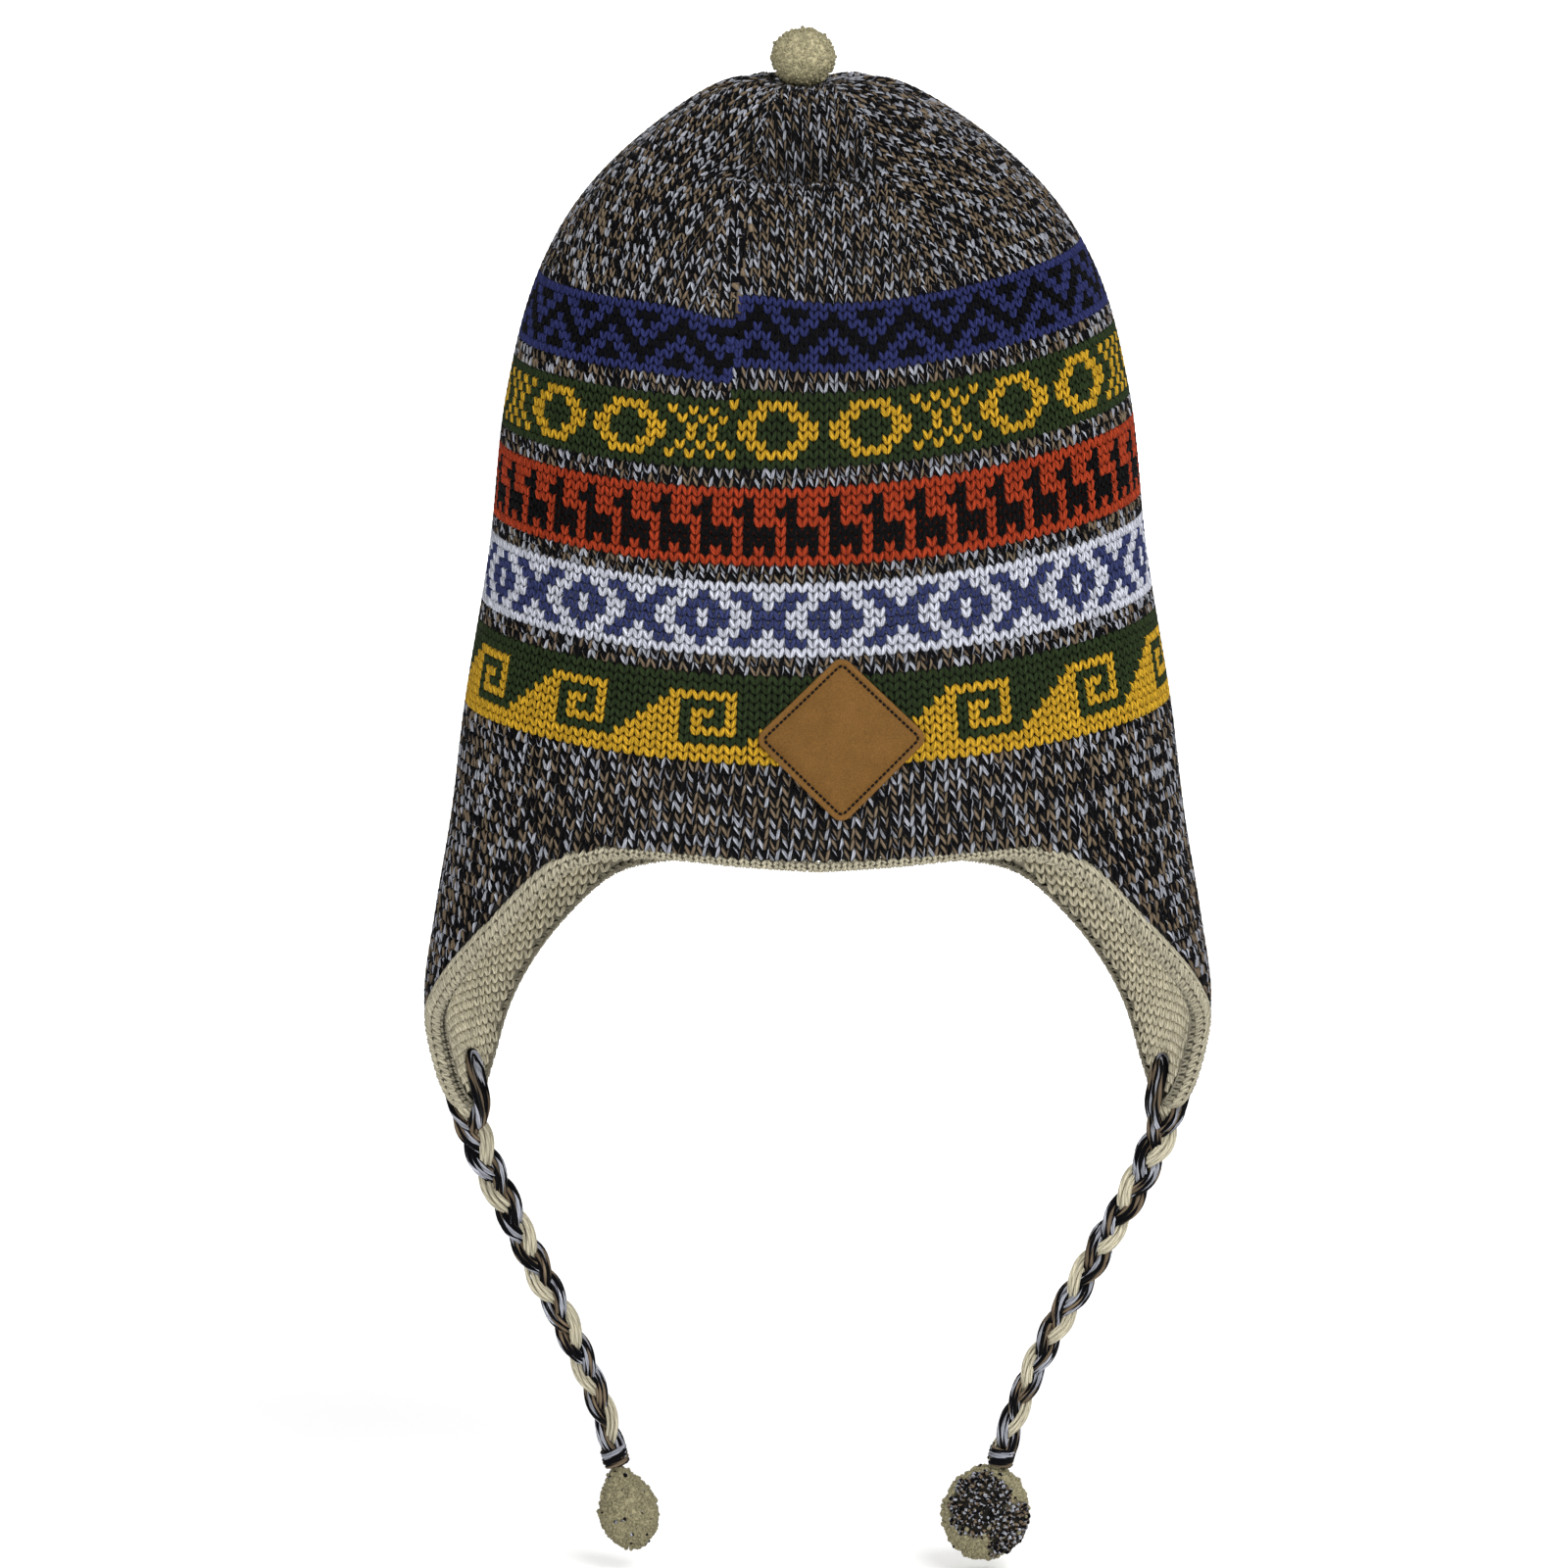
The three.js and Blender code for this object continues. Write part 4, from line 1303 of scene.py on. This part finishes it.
def pompom_piece(name, foot, axis, size, tone, ties, yarns, dark_share, chance):
    """Cut yarns that stand out all round from a tied middle. The foot is where the pompom starts, and it
    lies along the axis; its size is a radius, a half height and a taper."""
    radius, half_height, _ = size
    centre = foot + axis * half_height
    count = ties.pompom_yarns
    number = np.arange(count) + 0.5
    level = 1 - 2 * number / count
    turn = GOLDEN_TURN * number
    flat = np.sqrt(1 - level ** 2)
    way = np.stack((flat * np.cos(turn), flat * np.sin(turn), level), axis=1)
    way = unit(way + POMPOM_MESS * chance.standard_normal((count, 3)))
    lean = POMPOM_LEAN * chance.standard_normal((count, 3))
    length = 1 + POMPOM_UNEVEN * chance.standard_normal((count, 1))
    outer = pompom_reach(way, axis, size) * np.clip(length, *POMPOM_LENGTHS)
    bend = POMPOM_STATIONS ** 2
    spines = centre + outer[:, None] * POMPOM_STATIONS[:, None] + lean[:, None] * bend[:, None]
    thickness = ties.pompom_fullness * math.sqrt(4 * math.pi * radius * half_height / count)
    radii = thickness * POMPOM_THICKNESS * (1 + POMPOM_THICKNESSES * chance.standard_normal((count, 1)))
    dark = chance.random(count) < dark_share(way)
    tones = 1 + POMPOM_TONES * chance.standard_normal((count, 1))
    # The tone darkens the cream as painted shade on the tie pompoms.
    cream = np.array(yarns.pompom) * tone
    colours = np.where(dark[:, None], 1.0, cream) * tones
    mesh = YarnMesh()
    for marked, slot in ((False, 0), (True, 1)):
        chosen = dark == marked
        if chosen.any():
            long_yarns(mesh, spines[chosen], radii[chosen], POMPOM_SIDES, chance.random(chosen.sum()),
                       np.clip(colours[chosen], 0, 1), POMPOM_TWIST, slot)
    level = np.linspace(1, -1, POMPOM_CORE_RINGS)[1:-1, None]
    turn = np.arange(POMPOM_CORE_SIDES) * FULL_TURN / POMPOM_CORE_SIDES
    flat = np.sqrt(1 - level ** 2)
    way = np.stack(np.broadcast_arrays(flat * np.cos(turn), flat * np.sin(turn), level), axis=-1)
    way = way.reshape(-1, 3)
    way = np.concatenate((np.array(((0.0, 0.0, 1.0),)), way, np.array(((0.0, 0.0, -1.0),))))
    ball = pompom_reach(way, axis, size)
    sizes, corners, _, _ = spindle_template(POMPOM_CORE_RINGS - 2, POMPOM_CORE_SIDES)
    points = centre + ball * POMPOM_CORE
    core = mesh_piece(f"{name}_core", points, corners[::-1], sizes[::-1], (ground_material(),))
    dark = np.clip(dark_share(way), 0, 1)[:, None]
    colours = cream * (1 - dark) + np.array(yarns.marl_dark) * dark
    # The core is darkened by painted shade between the cut yarns.
    paint_points(core.data, colours * POMPOM_CORE_PAINTED_SHADE)
    return mesh.build(name, (carried_material(), marl_material(yarns))), core


def few_dark(way):
    return np.full(len(way), FEW_DARK_SHARE)


def dark_zones(way):
    """Dark patches with blurred edges."""
    near = np.max([way @ unit(np.array(middle)) - edge for middle, edge in DARK_ZONES], axis=0)
    return np.clip(0.5 + DARK_ZONE_BLUR * near, *DARK_ZONE_SHARES)


def no_dark(way):
    return np.zeros(len(way))


# Ties: side, sign of X, swing of the route, then of the pompom its radius, half height and taper, its tone as
# a painted shade, and which of its yarns are dark.
TIES = (
    ("left", -1, 1.065, (0.0094, 0.0134, 0.45), 0.74, few_dark),
    ("right", 1, 1.20, (0.0136, 0.0150, 0.10), 0.82, dark_zones),
)


def patch_outline(inset):
    """The patch's outline, a square with round corners that stands on one corner: across and up."""
    half = PATCH_SIDE / 2 - inset
    corner = max(PATCH_CORNER - inset, PATCH_LEAST_CORNER)
    arcs = []
    for quarter in range(4):
        arc = np.radians(90 * quarter + np.linspace(0, 90, PATCH_CORNER_POINTS))
        cosine, sine = math.cos(arc[0]), math.sin(arc[0])
        bend = np.array((cosine - sine, sine + cosine)) * (half - corner)
        arcs.append(bend + corner * np.stack((np.cos(arc), np.sin(arc)), axis=1))
    share = np.linspace(0, 1, PATCH_EDGE_POINTS + 2)[1:-1, None]
    points = []
    for arc, following in zip(arcs, arcs[1:] + arcs[:1]):
        points += [arc, arc[-1] + (following[0] - arc[-1]) * share]
    square = np.concatenate(points)
    cosine, sine = math.cos(PATCH_LEAN), math.sin(PATCH_LEAN)
    return square @ np.array(((cosine, sine), (-sine, cosine)))


def patch_place(flat, height):
    """A point over the knit where the patch lies: across and up on the patch, and height off the knit."""
    rise = rise_at_height(np.array(PATCH_HEIGHT)) + flat[..., 1]
    half_width = section_at(rise)[..., 1]
    azimuth = np.arcsin((PATCH_SIDEWAYS + flat[..., 0]) / half_width)
    return wall_point(azimuth, rise, -height), face_normal(azimuth, rise)


def soft_light(name, place, aim, size, watts):
    """A large soft lamp that the camera doesn't see."""
    light = bpy.data.lights.new(name, "AREA")
    light.shape = "RECTANGLE"
    light.size, light.size_y = size
    light.energy = watts
    lamp = bpy.data.objects.new(name, light)
    bpy.context.scene.collection.objects.link(lamp)
    lamp.location = place
    lamp.rotation_euler = (Vector(aim) - Vector(place)).to_track_quat("-Z", "Y").to_euler()
    lamp.visible_camera = False


def hat_camera():
    """A long lens at the photograph's angle, framed as the photograph is."""
    half = IMAGE_PIXELS / 2
    across = (half - HAT_MIDDLE_PIXEL) * PIXEL_SIZE
    up = (HAT_LEVEL_PIXEL - half) * PIXEL_SIZE / math.cos(CAMERA_ELEVATION)
    aim = Vector((across, 0, up))
    back = Vector((0, -math.cos(CAMERA_ELEVATION), math.sin(CAMERA_ELEVATION)))
    lens = bpy.data.cameras.new("camera")
    lens.sensor_width = SENSOR_WIDTH
    lens.lens = SENSOR_WIDTH * CAMERA_DISTANCE / (IMAGE_PIXELS * PIXEL_SIZE)
    lens.clip_end = 100
    camera = bpy.data.objects.new("camera", lens)
    bpy.context.scene.collection.objects.link(camera)
    camera.location = aim + back * CAMERA_DISTANCE
    camera.rotation_euler = (-back).to_track_quat("-Z", "Y").to_euler()
    bpy.context.scene.camera = camera


class HAT_OT_stage(bpy.types.Operator):
    """Set the camera, the soft light and the pale floor"""

    bl_idname = "hat.stage"
    bl_label = "Stage"

    def execute(self, context):
        scene = context.scene
        scene.view_settings.view_transform = "Standard"
        hat_camera()
        world = bpy.data.worlds.new("studio")
        scene.world = world
        world.use_nodes = True
        tree = NodeTree(world.node_tree)
        sky = tree.add("ShaderNodeBackground", {"Color": (1.0, 1.0, 1.0, 1.0), "Strength": WORLD_LIGHT})
        tree.add("ShaderNodeOutputWorld", {"Surface": sky.outputs[0]})
        for lamp in LAMPS:
            soft_light(*lamp)
        level = CAD_BOX[0][2] - FLOOR_GAP
        half = FLOOR_SIZE / 2
        sides = ((-half, -half), (half, -half), (half, half), (-half, half))
        points = np.array([(across, deep, level) for across, deep in sides])
        floor = mesh_piece("studio_floor", points, np.arange(4), np.array((4,)), (floor_material(),))
        return {"FINISHED"}


class HAT_OT_ties(bpy.types.Operator):
    """Braid both ties, hang their pompoms and loop them into the flaps"""

    bl_idname = "hat.ties"
    bl_label = "Ties"

    def execute(self, context):
        ties, yarns = context.scene.hat_ties, context.scene.hat_yarns
        chance = np.random.default_rng(SEED)
        for side, sign, swing, size, tone, dark_share in TIES:
            route = tie_route(sign, swing)
            node = f"tie_pompom_{side}"
            axis = unit(route[-1] - route[-2])
            foot = route[-1] + axis * TIP_GAP
            pompom, core = pompom_piece(
                f"{node}_yarn", foot, axis, size, tone, ties, yarns, dark_share, chance
            )
            dress(pompom, "pompom_yarn", node)
            dress(core, "pompom_yarn", node)
            braid = YarnMesh()
            braid_yarns(braid, route, ties, yarns, chance)
            wrap_yarns(braid, route, ties, chance)
            node = f"tie_braid_{side}"
            braid = braid.build(f"{node}_strands", (marl_material(yarns), carried_material()))
            dress(braid, "tie_yarn", node)
            loops = YarnMesh()
            loop_yarns(loops, sign, ties, chance)
            dress(loops.build(f"tie_loop_{side}", (marl_material(yarns),)), "tie_yarn")
        return {"FINISHED"}


class HAT_OT_bands(bpy.types.Operator):
    """Knit the charted colour bands"""

    bl_idname = "hat.bands"
    bl_label = "Colour bands"

    def execute(self, context):
        knit, yarns = context.scene.hat_knit, context.scene.hat_yarns
        chance = np.random.default_rng(SEED + 1)
        for name, chart, first_column, ground, top, bottom in BANDS:
            rises = row_rises(len(chart), top, bottom)
            row = float(rise_at_height(top) - rise_at_height(bottom)) / len(chart)
            stitches = stitch_rows(wale_shares(knit.wales), rises, row, knit.wales)
            colours = chart_colours(chart, first_column, knit.wales, ground, yarns)
            knit_piece(
                name, "outer_knit", "outer_knit", charted_material(), outer_place, stitches, LEG_STATIONS,
                (knit.yarn_width, knit.yarn_thickness), colours, chance,
            )
        return {"FINISHED"}


class HAT_OT_marl_knit(bpy.types.Operator):
    """Knit the marl crown, the rows between bands, and the brow with its flaps"""

    bl_idname = "hat.marl_knit"
    bl_label = "Marl knit"

    def execute(self, context):
        knit, yarns = context.scene.hat_knit, context.scene.hat_yarns
        chance = np.random.default_rng(SEED + 2)
        shares = wale_shares(knit.wales)
        first = float(rise_at_height(BANDS[0][4]))
        last = APEX_RISE - CROWN_END
        crown = crown_stitches(first, last, knit.crown_row, knit.crown_stitch, knit.wales)
        groups = {"crown_knit": [crown], "spacer_knit": []}
        for upper, lower in zip(BANDS, BANDS[1:]):
            top, bottom = upper[5], lower[4]
            row = float(rise_at_height(top) - rise_at_height(bottom)) / SPACER_ROWS
            rises = row_rises(SPACER_ROWS, top, bottom)
            groups["spacer_knit"].append(stitch_rows(shares, rises, row, knit.wales))
        top = BANDS[-1][5]
        row = top / BROW_ROWS
        rows = int(BROW_ROWS - RIM[:, 1].min() / row) + 1
        brow = stitch_rows(shares, row_rises(rows, top, top - rows * row), row, knit.wales)
        groups["brow_knit"] = [above_rim(brow, BROW_MARGIN, True)]
        for name, parts in groups.items():
            stitches = np.concatenate(parts)
            # The carried colour is painted shade, darker down in the fold.
            colours = np.repeat(fold_painted_shade(stitches)[:, None], 3, axis=1)
            knit_piece(
                name, "outer_knit", "outer_knit", marl_material(yarns), outer_place, stitches, LEG_STATIONS,
                (knit.yarn_width, knit.yarn_thickness), colours, chance,
            )
        points, corners, sizes, rises = wall_shell(
            outer_wall_place, *OUTER_GROUND, SHELL_COLUMNS, SHELL_ROWS, APEX_RISE - SHELL_END
        )
        ground = mesh_piece("knit_ground", points, corners, sizes, (ground_material(),))
        # The ground carries painted shade between the stitches.
        paint_points(ground.data, painted_ground_shade(rises, yarns))
        dress(ground, "outer_knit", "outer_knit")
        return {"FINISHED"}


class HAT_OT_lining(bpy.types.Operator):
    """Knit the cream lining"""

    bl_idname = "hat.lining"
    bl_label = "Lining"

    def execute(self, context):
        knit, yarns = context.scene.hat_knit, context.scene.hat_yarns
        chance = np.random.default_rng(SEED + 3)
        row = knit.lining_row
        top = float(rise_at_height(BANDS[0][4]))
        rises = np.arange(top - row / 2, 0, -row)
        wall = stitch_rows(wale_shares(knit.lining_wales), rises, row, knit.lining_wales)
        wall = above_rim(wall, 0.0, False)
        last = APEX_RISE - LINING_CROWN_END
        crown = crown_stitches(top, last, row, knit.crown_stitch, knit.lining_wales)
        deep = wall[:, 3] > rise_at_height(DEEP_LINING_HEIGHT)
        parts = (
            ("lining_flap_knit", wall[~deep], LEG_STATIONS),
            ("lining_deep_knit", wall[deep], PLAIN_LEG_STATIONS),
            ("lining_crown_knit", crown, PLAIN_LEG_STATIONS),
        )
        # The lining's cream is brightened by painted light.
        cream = np.array(yarns.cream) * LINING_PAINTED_LIGHT
        for name, stitches, stations in parts:
            tones = 1 + LINING_TONES * chance.standard_normal((len(stitches), 1))
            # Painted shade darkens the lining next to the rim.
            colours = cream * (rim_painted_shade(stitches)[:, None] * tones)
            knit_piece(
                name, "cream_knit", "lining_knit", carried_material(), lining_place, stitches, stations,
                (knit.lining_yarn_width, knit.yarn_thickness), colours, chance,
            )
        points, corners, sizes, _ = wall_shell(
            lining_place, *LINING_GROUND, SHELL_COLUMNS // 2, SHELL_ROWS // 2, APEX_RISE - SHELL_END
        )
        ground = mesh_piece("lining_ground", points, corners, sizes, (ground_material(),))
        # The lining's ground is painted shade between its stitches.
        paint_points(ground.data, np.tile(cream * LINING_GROUND_SHADE, (len(points), 1)))
        dress(ground, "cream_knit", "lining_knit")
        return {"FINISHED"}


class HAT_OT_rim_roll(bpy.types.Operator):
    """Knit the rolled cream rim along the lower edge"""

    bl_idname = "hat.rim_roll"
    bl_label = "Rim roll"

    def execute(self, context):
        knit, yarns = context.scene.hat_knit, context.scene.hat_yarns
        chance = np.random.default_rng(SEED + 4)
        rim = RimPath()
        wales = round(rim.length / knit.roll_stitch)
        turns = (np.arange(knit.roll_rows) + 0.5) / knit.roll_rows
        stitches = stitch_rows(wale_shares(wales), turns, 1 / knit.roll_rows, wales)
        tones = 1 + LINING_TONES * chance.standard_normal((len(stitches), 1))
        # The rows that face into the hat are darkened by painted shade.
        inner = np.abs(stitches[:, 3:4] - 0.5) < ROLL_INNER_SHADE_REACH
        colours = np.array(yarns.cream) * (tones * np.where(inner, ROLL_INNER_PAINTED_SHADE, ROLL_TONE))
        knit_piece(
            "rim_roll_knit", "cream_knit", "rim_roll", carried_material(), rim.place, stitches, LEG_STATIONS,
            (knit.lining_yarn_width, knit.yarn_thickness), colours, chance,
        )
        share = np.arange(wales)[:, None] / wales - 0.5
        turn = np.arange(CORE_SIDES)[None] / CORE_SIDES
        share, turn = np.broadcast_arrays(share, turn)
        points, _ = rim.place(share, turn, np.full(share.shape, CORE_SHRINK))
        here = np.arange(wales)[:, None]
        side = np.arange(CORE_SIDES)[None]
        ahead, round_next = (here + 1) % wales, (side + 1) % CORE_SIDES
        quads = np.stack((
            here * CORE_SIDES + round_next,
            ahead * CORE_SIDES + round_next,
            ahead * CORE_SIDES + side,
            here * CORE_SIDES + side,
        ), axis=-1).reshape(-1, 4)
        points = points.reshape(-1, 3)
        sizes = np.full(len(quads), 4)
        core = mesh_piece("rim_roll_core", points, quads.ravel(), sizes, (ground_material(),))
        # The roll's core is painted shade between its stitches.
        paint_points(core.data, np.tile(np.array(yarns.cream) * LINING_GROUND_SHADE, (len(points), 1)))
        dress(core, "cream_knit", "rim_roll")
        return {"FINISHED"}


class HAT_OT_patch(bpy.types.Operator):
    """Cut the leather patch and sew it round its edge"""

    bl_idname = "hat.patch"
    bl_label = "Leather patch"

    def execute(self, context):
        ties, yarns = context.scene.hat_ties, context.scene.hat_yarns
        chance = np.random.default_rng(SEED + 5)
        rings, colours = [], []
        face, edge = np.array(yarns.leather), np.array(yarns.leather_edge_highlight)
        for inset, height in PATCH_RINGS:
            flat = patch_outline(inset)
            points, _ = patch_place(flat, np.full(len(flat), height))
            rings.append(points)
            # The outer rings take a painted highlight along the patch's edge.
            edge_highlight = smooth_step(np.array(inset), PATCH_HIGHLIGHT_REACH, 0.0)
            colours.append(np.tile(face + (edge - face) * edge_highlight, (len(flat), 1)))
        count = len(rings[0])
        centre, _ = patch_place(np.zeros((1, 2)), np.array((PATCH_RINGS[-1][1],)))
        back, _ = patch_place(np.zeros((1, 2)), np.array((PATCH_RINGS[0][1],)))
        points = np.concatenate(rings + [centre, back])
        quads = ring_quads(len(rings), count)
        middle = len(rings) * count
        cap = tip_triangles(middle - count, count, middle)
        base = tip_triangles(0, count, middle + 1)[:, (1, 0, 2)]
        corners = np.concatenate((quads.ravel(), cap.ravel(), base.ravel()))
        sizes = np.concatenate((np.full(len(quads), 4), np.full(len(cap) + len(base), 3)))
        patch = mesh_piece("leather_patch_hide", points, corners, sizes, (leather_material(),))
        paint_points(patch.data, np.concatenate(colours + [face[None], face[None]]))
        dress(patch, "leather", "leather_patch")
        outline = patch_outline(SEAM_INSET)
        closed = np.concatenate((outline, outline[:1]))
        places = running_length(step_lengths(closed))
        stitches = round(places[-1] / ties.seam_stitch)
        starts = np.arange(stitches) / stitches
        spans, heights = SEAM_STATIONS.T
        along = ((starts[:, None] + spans / stitches) % 1) * places[-1]
        flat = np.stack([np.interp(along, places, closed[:, axis]) for axis in (0, 1)], axis=-1)
        spines, normals = patch_place(flat, np.broadcast_to(heights, along.shape))
        yarn = YarnMesh()
        thread = np.full((stitches, len(spans) - 2), THREAD_RADIUS)
        points = spindle_points(spines, normals[:, 1:-1], thread, thread, LEG_SIDES)
        lengths = np.broadcast_to(np.linspace(0, 1, len(spans)), along.shape)
        colours = np.tile(np.array(yarns.thread), (stitches, 1))
        yarn.add(points, LEG_SIDES, lengths, chance.random(stitches), colours)
        dress(yarn.build("patch_seam", (carried_material(),)), "leather")
        return {"FINISHED"}


class HAT_OT_crown_pompom(bpy.types.Operator):
    """Tie the pompom on the crown"""

    bl_idname = "hat.crown_pompom"
    bl_label = "Crown pompom"

    def execute(self, context):
        ties, yarns = context.scene.hat_ties, context.scene.hat_yarns
        chance = np.random.default_rng(SEED + 6)
        foot, axis = np.array(CROWN_POMPOM_FOOT), np.array((0.0, 0.0, 1.0))
        pompom, core = pompom_piece(
            "crown_pompom_yarn", foot, axis, CROWN_POMPOM_SIZE, 1.0, ties, yarns, no_dark, chance
        )
        dress(pompom, "pompom_yarn", "crown_pompom")
        dress(core, "pompom_yarn", "crown_pompom")
        return {"FINISHED"}


OPERATORS = (
    HAT_OT_stage,
    HAT_OT_ties,
    HAT_OT_marl_knit,
    HAT_OT_bands,
    HAT_OT_lining,
    HAT_OT_rim_roll,
    HAT_OT_patch,
    HAT_OT_crown_pompom,
)
SETTINGS = (
    ("hat_knit", HatKnitSettings),
    ("hat_yarns", HatYarnSettings),
    ("hat_ties", HatTieSettings),
)


class HAT_PT_sidebar(bpy.types.Panel):
    """Steps and settings of the hat's looks"""

    bl_label = "Knitted Hat"
    bl_idname = "HAT_PT_sidebar"
    bl_space_type = "VIEW_3D"
    bl_region_type = "UI"
    bl_category = "Knitted Hat"

    def draw(self, context):
        for operator in OPERATORS:
            self.layout.operator(operator.bl_idname)
        for name, settings in SETTINGS:
            box = self.layout.box()
            for field in settings.__annotations__:
                box.prop(getattr(context.scene, name), field)


CLASSES = (*(settings for _, settings in SETTINGS), *OPERATORS, HAT_PT_sidebar)


def register():
    for cls in CLASSES:
        bpy.utils.register_class(cls)
    for name, settings in SETTINGS:
        setattr(bpy.types.Scene, name, PointerProperty(type=settings))


def unregister():
    for name, _ in SETTINGS:
        delattr(bpy.types.Scene, name)
    for cls in reversed(CLASSES):
        bpy.utils.unregister_class(cls)


def main():
    register()
    bpy.ops.hat.stage()
    bpy.ops.hat.ties()
    bpy.ops.hat.marl_knit()
    bpy.ops.hat.bands()
    bpy.ops.hat.lining()
    bpy.ops.hat.rim_roll()
    bpy.ops.hat.patch()
    bpy.ops.hat.crown_pompom()


if __name__ == "__main__":
    main()
